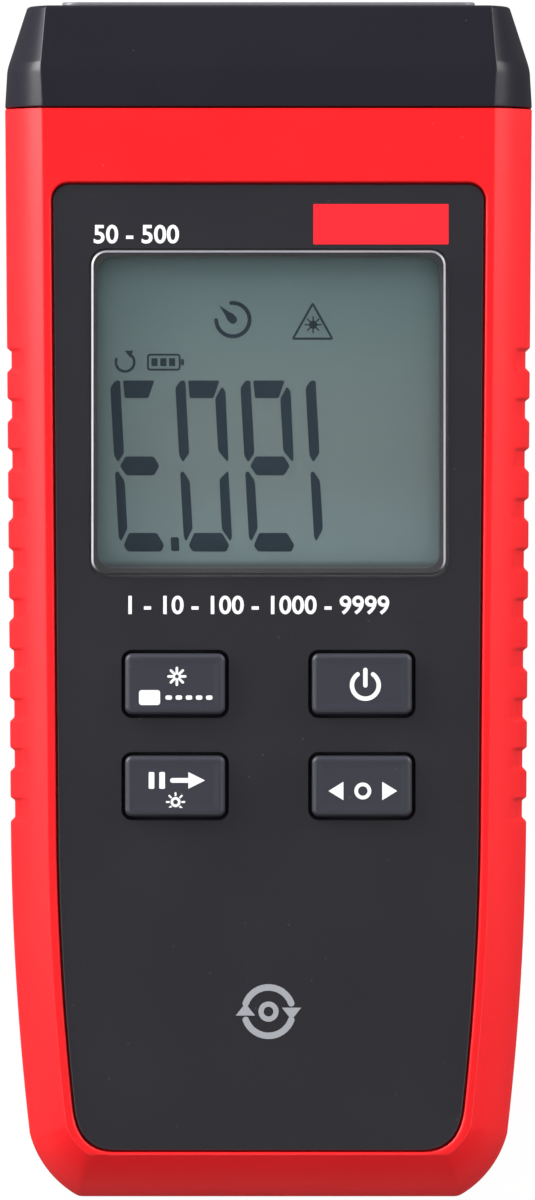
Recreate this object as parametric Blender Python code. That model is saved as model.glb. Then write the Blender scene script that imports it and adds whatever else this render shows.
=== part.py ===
"""A pocket laser tachometer, built piece by piece as it comes apart on a bench.

It lies on its back. X runs across the case, Y along it towards the sensor end, and Z up out of
the front face. The origin is under the middle of the whole, on the plane that the back rests on.
"""

import math

import bmesh
import bpy
from mathutils import Matrix, Vector

MM = 0.001

# Clearances that every fit is worked out from
GAP = 0.3 * MM
PARTING = 0.2 * MM
OVERRUN = 1.0 * MM

# The stack from the back face to the front lip
WALL = 2.0 * MM
CELL_SLACK = 0.5 * MM
CELL_DIAMETER = 10.5 * MM
ROOF = 1.2 * MM
BOARD_AIR = 0.8 * MM
BOARD_THICKNESS = 1.6 * MM
HOLDER_LEDGE = 0.9 * MM
LIGHT_THICKNESS = 3.0 * MM
GLASS_THICKNESS = 2.0 * MM
POCKET_FLOOR = 1.4 * MM
PANEL_THICKNESS = 1.0 * MM
PANEL_RECESS = 0.3 * MM

CELL_Z = WALL + CELL_SLACK + CELL_DIAMETER / 2
ROOF_Z = WALL + CELL_SLACK + CELL_DIAMETER + GAP
BOARD_Z = ROOF_Z + ROOF + BOARD_AIR
BOARD_TOP = BOARD_Z + BOARD_THICKNESS
HOLDER_Z = BOARD_TOP + GAP
LIGHT_Z = HOLDER_Z + HOLDER_LEDGE + GAP
GLASS_Z = LIGHT_Z + LIGHT_THICKNESS + GAP
CEILING_Z = GLASS_Z + GLASS_THICKNESS + GAP
POCKET_Z = CEILING_Z + POCKET_FLOOR
PANEL_Z = POCKET_Z + GAP
PANEL_TOP = PANEL_Z + PANEL_THICKNESS
CASE_DEPTH = PANEL_TOP + PANEL_RECESS
SEAM_Z = CASE_DEPTH / 2

# Battery bay, measured up from the bottom end
CELL_LENGTH = 44.5 * MM
CELL_SPACING = 11.1 * MM
CELL_COUNT = 3
BAY_WALL = 1.2 * MM
CONTACT_THICKNESS = 0.4 * MM
SPRING_SPACE = 6.0 * MM
BAY_SIDE_SPACE = 1.85 * MM

BAY_START = WALL + GAP + BAY_WALL
BAY_LENGTH = 2 * (GAP + CONTACT_THICKNESS) + SPRING_SPACE + CELL_LENGTH + GAP
BAY_HALF = CELL_SPACING * (CELL_COUNT - 1) / 2 + CELL_DIAMETER / 2 + BAY_SIDE_SPACE

# Screw posts and the screws in them
POST_RADIUS = 3.8 * MM
BOSS_RADIUS = 2.8 * MM
POST_INSET = 8.5 * MM
SCREW_HEAD_RADIUS = 2.2 * MM
SCREW_HEAD_HEIGHT = 1.4 * MM
SCREW_RADIUS = 1.1 * MM
SCREW_GRIP = 7.0 * MM
SCREW_SINK = 5.2 * MM
UPPER_POST_DROP = 6.6 * MM
MID_POST_SPACE = 1.9 * MM

# Display
LENS_WIDTH = 40.2 * MM
LENS_HEIGHT = 36.8 * MM
LENS_RADIUS = 1.7 * MM
LENS_CHAMFER = 0.35 * MM
LENS_PROUD = 0.3 * MM
APERTURE_LEDGE = 0.6 * MM
GLASS_MARGIN = 1.9 * MM
GLASS_EXTRA_HEIGHT = 1.4 * MM
HOLDER_WALL = 1.2 * MM
ZEBRA_WIDTH = 2.0 * MM

GLASS_WIDTH = LENS_WIDTH + 2 * GLASS_MARGIN
GLASS_HEIGHT = LENS_HEIGHT + 2 * GLASS_MARGIN + GLASS_EXTRA_HEIGHT
HOLDER_WIDTH = GLASS_WIDTH + 2 * (GAP + HOLDER_WALL)
HOLDER_HEIGHT = GLASS_HEIGHT + 2 * (GAP + HOLDER_WALL)

# Case outline, seen from the front
FRAME_SIDE = 9.9 * MM
SIDE_TAPER = 0.65 * MM
FOOT_TAPER = 2.15 * MM
CORNER_CUT = 5.6 * MM
CORNER_HEIGHT = 7.2 * MM
CORNER_BULGE = 0.95 * MM
TAPER_HEIGHT = 42.0 * MM
FOREHEAD = 12.4 * MM
CAP_LENGTH = 11.65 * MM
WINDOW_PROUD = 0.25 * MM

MID_POST_HEIGHT = BAY_START + BAY_LENGTH + BAY_WALL + GAP + POST_RADIUS
HOLDER_START = MID_POST_HEIGHT + POST_RADIUS + MID_POST_SPACE
SEAM_HEIGHT = HOLDER_START + HOLDER_HEIGHT + FOREHEAD
CASE_LENGTH = SEAM_HEIGHT + CAP_LENGTH
CASE_HALF = LENS_WIDTH / 2 + FRAME_SIDE

BOTTOM_Y = -(CASE_LENGTH + WINDOW_PROUD) / 2
SEAM_Y = BOTTOM_Y + SEAM_HEIGHT
TIP_Y = SEAM_Y + CAP_LENGTH
TAPER_Y = BOTTOM_Y + TAPER_HEIGHT
CORNER_Y = BOTTOM_Y + CORNER_HEIGHT
BAY_Y0 = BOTTOM_Y + BAY_START
BAY_Y1 = BAY_Y0 + BAY_LENGTH
DISPLAY_Y = BOTTOM_Y + HOLDER_START + HOLDER_HEIGHT / 2
POST_X = CASE_HALF - POST_INSET
MID_POST_Y = BOTTOM_Y + MID_POST_HEIGHT
UPPER_POST_Y = SEAM_Y - UPPER_POST_DROP
POSTS = [(side * POST_X, y) for side in (-1, 1) for y in (MID_POST_Y, UPPER_POST_Y)]

# Rolled long edges of the case: how far each reaches in from the outline and down from its face
FRONT_EDGE_INSET = 4.3 * MM
FRONT_EDGE_DROP = 8.4 * MM
BACK_EDGE_INSET = 3.0 * MM
BACK_EDGE_DROP = 4.8 * MM
EDGE_STEPS = 5
TAPER_STEPS = 5
CORNER_SHARES = (0.0, 0.22, 0.44, 0.68, 1.0)

# Grip grooves down both sides
GRIP_COUNT = 10
GRIP_PITCH = 5.68 * MM
GRIP_RISE = 2.1 * MM
GRIP_DEPTH = 0.5 * MM
GRIP_STEEP_FLANK = 0.55 * MM
GRIP_FLOOR = 1.7 * MM
GRIP_SOFT_FLANK = 0.7 * MM
GRIP_FADE_FROM = math.radians(24)
GRIP_FADE_TO = math.radians(36)

# End cap over the sensor end
CAP_WALL = 1.6 * MM
CAP_END = 2.55 * MM
CAP_SHOULDER = 4.25 * MM
CAP_NARROWING = 0.25 * MM
CAP_TIP_NARROWING = 2.55 * MM
CAP_TIP_SQUASH = 0.95
CAP_TIP_EDGE = 0.5
CAP_SHOULDER_EDGE = 0.9
NECK_WALL = 1.5 * MM
NECK_ROOT = 3.0 * MM
NECK_LENGTH = CAP_SHOULDER - GAP
NECK_DEPTH = CAP_WALL + CAP_NARROWING + GAP

# Sensor window in the cap's end face
WINDOW_WIDTH = 47.0 * MM
WINDOW_HEIGHT = 14.0 * MM
WINDOW_THICKNESS = 1.45 * MM
WINDOW_RADIUS = 2.0 * MM

# Face panel
PANEL_INSET = 5.45 * MM
PANEL_BROW = 9.0 * MM
PANEL_RADIUS = 1.8 * MM

# Keys, each on a switch of its own
KEY_WIDTH = 11.6 * MM
KEY_HEIGHT = 7.15 * MM
KEY_RADIUS = 0.9 * MM
KEY_ROUND = 0.45 * MM
KEY_PROUD = 0.9 * MM
KEY_TRAVEL = 0.6 * MM
KEY_FLANGE = 0.9 * MM
KEY_FLANGE_THICKNESS = 1.0 * MM
KEY_SPREAD = 10.6 * MM
KEY_PITCH = 11.6 * MM
KEY_DROP = 12.4 * MM
SWITCH_SIZE = 6.0 * MM
SWITCH_AIR = 2.0 * MM
PLUNGER_RADIUS = 1.7 * MM
PLUNGER_SINK = 0.9 * MM

KEY_ROW = DISPLAY_Y - LENS_HEIGHT / 2 - KEY_DROP
KEYS = {
    "power": (KEY_SPREAD, KEY_ROW),
    "laser": (-KEY_SPREAD, KEY_ROW),
    "mode": (KEY_SPREAD, KEY_ROW - KEY_PITCH),
    "hold": (-KEY_SPREAD, KEY_ROW - KEY_PITCH),
}
KEY_BASE_Z = CEILING_Z - GAP - KEY_FLANGE_THICKNESS
PLUNGER_TOP = KEY_BASE_Z - GAP
SWITCH_TOP = PLUNGER_TOP - SWITCH_AIR + GAP

# Circuit board
BOARD_WIDTH = 45.2 * MM
BOARD_BELOW_KEYS = 15.0 * MM
BOARD_ABOVE_HOLDER = 5.4 * MM
BOARD_SCREW_HEAD_RADIUS = 1.7 * MM
BOARD_SCREW_HEAD_HEIGHT = 1.0 * MM
BOARD_SCREW_RADIUS = 0.85 * MM
BOARD_SCREW_LENGTH = 5.0 * MM
STANDOFF_RADIUS = 2.1 * MM
STANDOFF_SPREAD = 12.0 * MM
BOARD_REST_SPREAD = 15.0 * MM
BOARD_REST_BELOW_KEYS = 10.0 * MM
BOARD_REST_SIZE = 3.0 * MM
BOARD_Y0 = KEY_ROW - KEY_PITCH - BOARD_BELOW_KEYS
BOARD_Y1 = BOTTOM_Y + HOLDER_START + HOLDER_HEIGHT + BOARD_ABOVE_HOLDER
STANDOFFS = [
    (-STANDOFF_SPREAD, BOARD_Y1 - STANDOFF_RADIUS - GAP),
    (STANDOFF_SPREAD, BOARD_Y1 - STANDOFF_RADIUS - GAP),
    (0.0, KEY_ROW + OVERRUN),
]
CHIP_SIZE = 10.0 * MM
CHIP_HEIGHT = 1.4 * MM
CRYSTAL_LENGTH = 8.0 * MM
CRYSTAL_WIDTH = 3.4 * MM
CRYSTAL_OFFSET = 9.0 * MM

# Battery door, which slides off towards the bottom end
DOOR_HALF = BAY_HALF - GAP - 1.2 * MM
DOOR_FLANGE = 1.2 * MM
DOOR_LEDGE = 0.85 * MM
DOOR_END_HEIGHT = 11.0 * MM
DOOR_RECESS = 0.15 * MM
DOOR_TRAVEL = 58.0 * MM
DOOR_GRIP_COUNT = 7
DOOR_GRIP_PITCH = 2.0 * MM
DOOR_GRIP_WIDTH = 1.0 * MM
DOOR_GRIP_LENGTH = 17.0 * MM
DOOR_GRIP_DEPTH = 0.6 * MM
DOOR_GRIP_MARGIN = 5.0 * MM

# Cell details and contacts
NIPPLE_RADIUS = 1.9 * MM
NIPPLE_HEIGHT = 1.2 * MM
CELL_CRIMP = 0.6 * MM
CONTACT_SIZE = 8.6 * MM
SPRING_TURNS = 3.5
SPRING_WIRE = 0.3 * MM
SPRING_WIDE = 3.5 * MM
SPRING_NARROW = 1.9 * MM
DIVIDER_WIDTH = 1.2 * MM
DIVIDER_HEIGHT = 2.2 * MM
TAB_WIDTH = 2.0 * MM
TAB_Z = 12.0 * MM
TAB_REACH = 1.5 * MM
LEAD_RADIUS = 0.5 * MM

# Optics behind the sensor window
OPTIC_SPREAD = 9.0 * MM
BARREL_RADIUS = 4.0 * MM
BARREL_LENGTH = 15.0 * MM
BARREL_BORE = 3.0 * MM
BARREL_BORE_DEPTH = 4.5 * MM
BARREL_LENS_THICKNESS = 2.0 * MM
TUBE_RADIUS = 6.8 * MM
TUBE_WALL = 0.8 * MM
TUBE_LENGTH = 12.4 * MM
TUBE_REAR_BORE = 3.2 * MM
TUBE_REAR_LENGTH = 4.5 * MM
TUBE_SEAT = 4.6 * MM
LENS_DISC_THICKNESS = 1.2 * MM
LENS_DOME = 1.1 * MM
DIODE_RADIUS = 2.5 * MM
DIODE_LENGTH = 5.0 * MM
DIODE_FLANGE = 0.45 * MM
HOLDER_BLOCK_MARGIN = 2.2 * MM
HOLDER_BLOCK_LENGTH = 5.0 * MM
HOLDER_BLOCK_SETBACK = 6.0 * MM
HOLE_CLEARANCE = 1.0 * MM


def radius_of_edge(inset, drop):
    """Radius of the arc that leaves the side wall upright and meets the face at this inset and drop."""
    return (inset**2 + drop**2) / (2 * inset)


FRONT = (1, CASE_DEPTH - FRONT_EDGE_DROP, radius_of_edge(FRONT_EDGE_INSET, FRONT_EDGE_DROP))
BACK = (-1, BACK_EDGE_DROP, radius_of_edge(BACK_EDGE_INSET, BACK_EDGE_DROP))


# Scene and mesh helpers


def clear_scene():
    """Removes whatever the open file holds."""
    for obj in list(bpy.data.objects):
        bpy.data.objects.remove(obj, do_unlink=True)


def material(name, colour, roughness=0.5, metallic=0.0, alpha=1.0):
    """A Principled material with this colour and finish, made once for each name."""
    found = bpy.data.materials.get(name)
    if found:
        return found
    made = bpy.data.materials.new(name)
    made.use_nodes = True
    shader = made.node_tree.nodes["Principled BSDF"]
    shader.inputs["Base Color"].default_value = (*colour, 1.0)
    shader.inputs["Roughness"].default_value = roughness
    shader.inputs["Metallic"].default_value = metallic
    shader.inputs["Alpha"].default_value = alpha
    made.diffuse_color = (*colour, alpha)
    return made


def red_plastic():
    """Satin red case plastic."""
    return material("red_plastic", (0.89, 0.025, 0.035), 0.42)


def charcoal_plastic():
    """Satin charcoal plastic of the cap and the panel."""
    return material("charcoal_plastic", (0.030, 0.028, 0.036), 0.5)


def key_plastic():
    """Bluish grey of the keys."""
    return material("key_plastic", (0.058, 0.062, 0.085), 0.55)


def steel():
    """Plated steel of the screws and contacts."""
    return material("steel", (0.66, 0.66, 0.68), 0.3, 1.0)


def mesh_object(name, shape, finish):
    """Turns a bmesh into an object, smooth on its round faces and sharp at its edges."""
    bmesh.ops.remove_doubles(shape, verts=shape.verts, dist=0.001 * MM)
    shape.normal_update()
    if shape.calc_volume(signed=True) < 0:
        bmesh.ops.reverse_faces(shape, faces=shape.faces)
    mesh = bpy.data.meshes.new(name)
    shape.to_mesh(mesh)
    shape.free()
    mesh.materials.append(finish)
    mesh.shade_smooth()
    mesh.set_sharp_from_angle(angle=math.radians(32))
    obj = bpy.data.objects.new(name, mesh)
    bpy.context.collection.objects.link(obj)
    return obj


def set_origin(obj, place):
    """Puts a moving piece's origin on its joint's axis, and leaves the piece where it is."""
    obj.data.transform(Matrix.Translation(-Vector(place)))
    obj.location = place
    return obj


def helper(obj):
    """Marks an object as a tool for Booleans, which isn't a piece of the tachometer."""
    obj.hide_render = True
    obj.display_type = "WIRE"
    return obj


def combine(target, other, operation):
    """Adds a Boolean of the other object to the target."""
    modifier = target.modifiers.new(f"{operation.lower()} {other.name}", "BOOLEAN")
    modifier.operation = operation
    modifier.solver = "EXACT"
    modifier.object = helper(other)
    return target


def cut(target, cutter):
    """Cuts the other object out of the target."""
    return combine(target, cutter, "DIFFERENCE")


def fuse(target, addition):
    """Joins the other object to the target."""
    return combine(target, addition, "UNION")


def loft(rings):
    """A closed solid through rings that all have the same number of points."""
    shape = bmesh.new()
    rows = [[shape.verts.new(point) for point in ring] for ring in rings]
    count = len(rows[0])
    for lower, upper in zip(rows, rows[1:]):
        for i in range(count):
            j = (i + 1) % count
            shape.faces.new((lower[i], lower[j], upper[j], upper[i]))
    shape.faces.new(list(reversed(rows[0])))
    shape.faces.new(rows[-1])
    return shape


def flat_ring(points, z):
    """Plan points lifted to a height."""
    return [Vector((x, y, z)) for x, y in points]


def prism(points, z0, z1):
    """A plan outline extruded between two heights."""
    return loft([flat_ring(points, z0), flat_ring(points, z1)])


def rectangle(x0, x1, y0, y1):
    """Corners of a plain rectangle."""
    return [(x0, y0), (x1, y0), (x1, y1), (x0, y1)]


def block(name, x, y, z, finish=None):
    """A box between the pairs of limits x, y and z."""
    return mesh_object(name, prism(rectangle(*x, *y), *z), finish or steel())


def rounded_rectangle(width, height, radius, centre=(0.0, 0.0), steps=4):
    """Outline of a rectangle with round corners."""
    points = []
    for quarter, (sx, sy) in enumerate(((1, 1), (-1, 1), (-1, -1), (1, -1))):
        cx = centre[0] + sx * (width / 2 - radius)
        cy = centre[1] + sy * (height / 2 - radius)
        for step in range(steps + 1):
            angle = math.pi / 2 * (quarter + step / steps)
            points.append((cx + radius * math.cos(angle), cy + radius * math.sin(angle)))
    return points


def circle(radius, centre=(0.0, 0.0), steps=20):
    """Points of a circle in plan."""
    angles = [2 * math.pi * i / steps for i in range(steps)]
    return [(centre[0] + radius * math.cos(a), centre[1] + radius * math.sin(a)) for a in angles]


def post(name, centre, radius, z, steps=20, finish=None):
    """An upright cylinder between the two heights z."""
    return mesh_object(name, prism(circle(radius, centre, steps), *z), finish or steel())


def turned(name, profile, finish, steps=20):
    """A solid turned about the local Z axis from (radius, height) points that start and end on it."""
    shape = bmesh.new()
    rows = []
    for radius, height in profile:
        if radius == 0:
            rows.append([shape.verts.new((0, 0, height))])
            continue
        rows.append([shape.verts.new((x, y, height)) for x, y in circle(radius, steps=steps)])
    for lower, upper in zip(rows, rows[1:]):
        for i in range(steps):
            j = (i + 1) % steps
            foot = (lower[i % len(lower)], lower[j % len(lower)])
            head = (upper[j % len(upper)], upper[i % len(upper)])
            shape.faces.new(list(dict.fromkeys(foot + head)))
    return mesh_object(name, shape, finish)


def lay_along_y(obj, x, y, z, flip=False):
    """Lays a turned piece down, its axis along Y and its foot at y. Flipped, it points to the bottom end."""
    obj.rotation_euler = (math.radians(90 if flip else -90), 0, 0)
    obj.location = (x, y, z)
    return obj


# The case outline and its rolled edges


def flank_half(y):
    """Half the case's width at y on the straight flank, which goes on in line past the seam."""
    slope = SIDE_TAPER / (SEAM_Y - TAPER_Y)
    return CASE_HALF - slope * (SEAM_Y - y)


def grip_stations():
    """Heights and groove shares of the corners of each grip groove, from the top down."""
    stations = []
    for i in reversed(range(GRIP_COUNT)):
        middle = TAPER_Y + GRIP_RISE + i * GRIP_PITCH
        top = middle + (GRIP_STEEP_FLANK + GRIP_FLOOR + GRIP_SOFT_FLANK) / 2
        floor = top - GRIP_STEEP_FLANK
        stations += [
            (top, 0.0),
            (floor, 1.0),
            (floor - GRIP_FLOOR, 1.0),
            (floor - GRIP_FLOOR - GRIP_SOFT_FLANK, 0.0),
        ]
    return stations


def corner_arc():
    """Points of the rounded cut between the foot of the flank and the bottom end."""
    start = Vector((CASE_HALF - SIDE_TAPER - FOOT_TAPER, CORNER_Y))
    end = Vector((start.x - CORNER_CUT, BOTTOM_Y))
    chord = end - start
    radius = (chord.length**2 / 4 + CORNER_BULGE**2) / (2 * CORNER_BULGE)
    outward = Vector((-chord.y, chord.x)).normalized()
    centre = (start + end) / 2 - outward * (radius - CORNER_BULGE)
    half_angle = math.asin(chord.length / 2 / radius)
    middle = math.atan2(outward.y, outward.x)
    points = []
    for share in CORNER_SHARES:
        angle = middle + half_angle * (1 - 2 * share)
        points.append((centre.x + radius * math.cos(angle), centre.y + radius * math.sin(angle)))
    return points


def right_side(top, grips):
    """Points of the outline's right side as (x, y, groove share), from the top down."""
    points = [(flank_half(top), top, 0.0)]
    if grips:
        points += [(flank_half(y), y, share) for y, share in grip_stations()]
    slope = SIDE_TAPER / (SEAM_Y - TAPER_Y)
    reach = TAPER_Y - CORNER_Y
    bend = (FOOT_TAPER - slope * reach) / reach**2
    for step in range(TAPER_STEPS):
        drop = reach * step / TAPER_STEPS
        points.append((flank_half(TAPER_Y) - slope * drop - bend * drop**2, TAPER_Y - drop, 0.0))
    points += [(x, y, 0.0) for x, y in corner_arc()]
    return points


def inward(points):
    """For each point of the right side, the plan vector that insets both its edges by one unit."""
    places = [Vector(p[:2]) for p in points]
    places.append(Vector((0.0, BOTTOM_Y)))
    normals = []
    for a, b in zip(places, places[1:]):
        along = (b - a).normalized()
        normals.append(Vector((along.y, -along.x)))
    vectors = [Vector((-1 / abs(normals[0].x), 0))]
    for n1, n2 in zip(normals, normals[1:]):
        vectors.append((n1 + n2) / (1 + n1.dot(n2)))
    return vectors


def outline(top, inset):
    """Plan outline of the case up to y = top, set in all round but at the top."""
    points = right_side(top, False)
    half = [Vector(p[:2]) + v * inset for p, v in zip(points, inward(points))]
    return [(p.x, p.y) for p in half] + [(-p.x, p.y) for p in reversed(half)]


def edge_ring(face, depth, angle, top, grips=False, z=None):
    """One ring of the case's surface, this depth under the skin, at this angle up a rolled edge."""
    sign, wall_z, radius = face
    fade = (GRIP_FADE_TO - angle) / (GRIP_FADE_TO - GRIP_FADE_FROM)
    fade = min(1.0, max(0.0, fade))
    points = right_side(top, grips)
    half = []
    for (x, y, share), vector in zip(points, inward(points)):
        arc = radius - depth - GRIP_DEPTH * share * fade
        place = Vector((x, y)) + vector * (radius - arc * math.cos(angle))
        height = wall_z + sign * arc * math.sin(angle) if z is None else z
        half.append(Vector((place.x, place.y, height)))
    return half + [Vector((-p.x, p.y, p.z)) for p in reversed(half)]


def case_half(face, depth, start_z, face_z, top, grips=False):
    """A solid half of the case from start_z to its flat face, this depth under the skin."""
    sign, wall_z, radius = face
    end = math.asin(abs(face_z - wall_z) / (radius - depth))
    rings = [edge_ring(face, depth, 0.0, top, grips, z=start_z)]
    rings += [edge_ring(face, depth, end * step / EDGE_STEPS, top, grips) for step in range(EDGE_STEPS + 1)]
    return loft(rings)


# Casings


def make_front_shell():
    """The red front half: rolled edges, grip grooves, panel pocket, bosses and standoffs in one moulding."""
    finish = red_plastic()
    seam = SEAM_Z + PARTING / 2
    shell = mesh_object("front_shell", case_half(FRONT, 0.0, seam, CASE_DEPTH, SEAM_Y, True), finish)
    neck_top = CASE_DEPTH - NECK_DEPTH
    neck = case_half(FRONT, NECK_DEPTH, seam, neck_top, SEAM_Y + NECK_LENGTH)
    fuse(shell, mesh_object("front_neck", neck, finish))

    low = seam - OVERRUN
    core = mesh_object("front_core", case_half(FRONT, WALL, low, CEILING_Z, SEAM_Y - NECK_ROOT), finish)
    for i, (x, y) in enumerate(POSTS):
        cut(core, post(f"front_boss_{i}", (x, y), BOSS_RADIUS, (seam, CASE_DEPTH)))
    for i, (x, y) in enumerate(STANDOFFS):
        cut(core, post(f"standoff_{i}", (x, y), STANDOFF_RADIUS, (BOARD_TOP + GAP, CASE_DEPTH), 12))
    cut(shell, core)
    passage_depth = NECK_DEPTH + NECK_WALL
    passage = case_half(FRONT, passage_depth, low, neck_top - NECK_WALL, SEAM_Y + NECK_LENGTH + OVERRUN)
    cut(shell, cut_above(mesh_object("front_passage", passage, finish), "front_passage_end"))

    pocket = prism(panel_outline(PARTING), POCKET_Z, CASE_DEPTH + OVERRUN)
    cut(shell, mesh_object("panel_pocket", pocket, finish))
    hole_z = (CEILING_Z - OVERRUN, POCKET_Z + OVERRUN)
    aperture = rounded_rectangle(
        LENS_WIDTH - 2 * APERTURE_LEDGE, LENS_HEIGHT - 2 * APERTURE_LEDGE, LENS_RADIUS, (0, DISPLAY_Y)
    )
    cut(shell, mesh_object("display_aperture", prism(aperture, *hole_z), finish))
    for name, centre in KEYS.items():
        cut(shell, key_hole(f"shell_key_hole_{name}", centre, hole_z))
    for i, (x, y) in enumerate(POSTS):
        depth = (seam - OVERRUN, seam + SCREW_GRIP + OVERRUN)
        cut(shell, post(f"boss_pilot_{i}", (x, y), SCREW_RADIUS + GAP, depth, 12))
    for i, (x, y) in enumerate(STANDOFFS):
        depth = (BOARD_TOP, BOARD_TOP + BOARD_SCREW_LENGTH)
        cut(shell, post(f"standoff_pilot_{i}", (x, y), BOARD_SCREW_RADIUS + GAP, depth, 12))
    return shell


def cut_above(passage, name):
    """Ends a neck passage below where the main hollow of its half already is."""
    stop = SEAM_Y - NECK_ROOT - OVERRUN
    span = (-2 * CASE_HALF, 2 * CASE_HALF)
    return cut(passage, block(name, span, (BOTTOM_Y - OVERRUN, stop), (-CASE_DEPTH, 2 * CASE_DEPTH)))


def panel_outline(extra):
    """Outline of the face panel, or of its pocket when made larger by extra."""
    top = SEAM_Y - PANEL_BROW + extra
    points = outline(top, PANEL_INSET - extra)
    half = points[1 : len(points) // 2]
    radius = PANEL_RADIUS + extra
    corner_x = points[0][0] - radius
    arc = []
    for step in range(5):
        angle = math.pi / 2 * (1 - step / 4)
        arc.append((corner_x + radius * math.cos(angle), top - radius + radius * math.sin(angle)))
    side = arc + half
    return side + [(-x, y) for x, y in reversed(side)]


def key_hole(name, centre, z):
    """Cutter for the hole that a key slides in."""
    size = (KEY_WIDTH + 2 * GAP, KEY_HEIGHT + 2 * GAP)
    outline_points = rounded_rectangle(*size, KEY_RADIUS + GAP, centre, steps=3)
    return mesh_object(name, prism(outline_points, *z), steel())


def make_rear_shell():
    """The red back half: battery bay, screw posts, optics pads and the door's undercut ledges."""
    finish = red_plastic()
    seam = SEAM_Z - PARTING / 2
    shell = mesh_object("rear_shell", case_half(BACK, 0.0, seam, 0.0, SEAM_Y, True), finish)
    neck = case_half(BACK, NECK_DEPTH, seam, NECK_DEPTH, SEAM_Y + NECK_LENGTH)
    fuse(shell, mesh_object("rear_neck", neck, finish))
    bay_outer = BAY_HALF + BAY_WALL
    bay_top = BAY_Y1 + BAY_WALL
    roof_step = PARTING
    roof = block(
        "bay_roof",
        (-bay_outer + roof_step, bay_outer - roof_step),
        (BOTTOM_Y + WALL + roof_step, bay_top - roof_step),
        (CELL_Z, ROOF_Z + ROOF),
        finish,
    )
    fuse(shell, roof)
    rest = BOARD_REST_SIZE / 2
    y = KEY_ROW - KEY_PITCH - BOARD_REST_BELOW_KEYS
    for side in (-1, 1):
        x = side * BOARD_REST_SPREAD
        limits = ((x - rest, x + rest), (y - rest, y + rest), (ROOF_Z + ROOF / 2, BOARD_Z - GAP))
        fuse(shell, block(f"board_rest_{side}", *limits, finish))

    high = seam + OVERRUN / 2
    core = mesh_object("rear_core", case_half(BACK, WALL, high, WALL, SEAM_Y - NECK_ROOT), finish)
    tall = (-OVERRUN, CASE_DEPTH)
    bay_block = block("bay_block", (-bay_outer, bay_outer), (BOTTOM_Y, bay_top), tall)
    cut(core, bay_block)
    for i, (x, y) in enumerate(POSTS):
        cut(core, post(f"rear_post_{i}", (x, y), POST_RADIUS, tall))
    cut(shell, core)
    passage_depth = NECK_DEPTH + NECK_WALL
    passage_top = SEAM_Y + NECK_LENGTH + OVERRUN
    way = case_half(BACK, passage_depth, high, passage_depth, passage_top)
    passage = mesh_object("rear_passage", way, finish)
    cut_above(passage, "rear_passage_end")
    for i, x in enumerate(optics_pad_places()):
        y = optics_block_y()
        across = (x - DIVIDER_WIDTH, x + DIVIDER_WIDTH)
        pad = block(f"optics_pad_{i}", across, y, (0, optics_block_z()[0] - GAP))
        cut(passage, pad)
    cut(shell, passage)

    bay = block("bay_hollow", (-BAY_HALF, BAY_HALF), (BAY_Y0, BAY_Y1), (WALL - OVERRUN / 2, ROOF_Z), finish)
    for i in range(CELL_COUNT - 1):
        x = (i + 0.5 - (CELL_COUNT - 1) / 2) * CELL_SPACING
        rib = (x - DIVIDER_WIDTH / 2, x + DIVIDER_WIDTH / 2)
        ends = (BAY_Y0 + SPRING_SPACE * 1.5, BAY_Y1 - SPRING_SPACE * 1.5)
        cut(bay, block(f"cell_divider_{i}", rib, ends, (ROOF_Z - DIVIDER_HEIGHT, CASE_DEPTH)))
    cut(shell, bay)
    for step, cutter in enumerate(door_region(GAP, BAY_Y0 - BAY_WALL)):
        cutter.name = f"door_opening_{step}"
        cut(shell, cutter)
    slot_z = (TAB_Z - GAP, TAB_Z + CONTACT_THICKNESS + GAP)
    across = (cell_x(0) - TAB_WIDTH, cell_x(0) + TAB_WIDTH)
    cut(shell, block("lead_slot_top", across, (BAY_Y1 - OVERRUN, BAY_Y1 + 2 * BAY_WALL), slot_z))
    side = (BAY_HALF - OVERRUN, BAY_HALF + 2 * BAY_WALL)
    cut(shell, block("lead_slot_side", side, (BAY_Y0 - GAP, BAY_Y0 + 2 * BAY_WALL), slot_z))
    for i, (x, y) in enumerate(POSTS):
        sink = (-OVERRUN, SCREW_SINK + SCREW_HEAD_HEIGHT + GAP)
        cut(shell, post(f"screw_sink_{i}", (x, y), SCREW_HEAD_RADIUS + GAP, sink))
        cut(shell, post(f"screw_way_{i}", (x, y), SCREW_RADIUS + GAP, (0, CASE_DEPTH), 12))
    return shell


def door_region(clearance, end_y):
    """Boxes that the battery door fills, or its opening when given clearance: plate, flange and end wall."""
    reach = BOTTOM_Y - OVERRUN
    top = BAY_Y1 - GAP
    narrow = DOOR_HALF + clearance
    wide = DOOR_HALF + DOOR_FLANGE + clearance
    plate = WALL + clearance
    ledge = DOOR_LEDGE + GAP - clearance
    end_top = DOOR_END_HEIGHT + clearance
    narrow_y = (reach, top - DOOR_FLANGE + clearance)
    return [
        block("door_plate", (-narrow, narrow), narrow_y, (-OVERRUN, plate)),
        block("door_flange", (-wide, wide), (reach, top + clearance), (ledge, plate)),
        block("door_end", (-narrow, narrow), (reach, end_y), (-OVERRUN, end_top)),
        block("door_end_flange", (-wide, wide), (reach, end_y), (ledge, end_top)),
    ]


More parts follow.
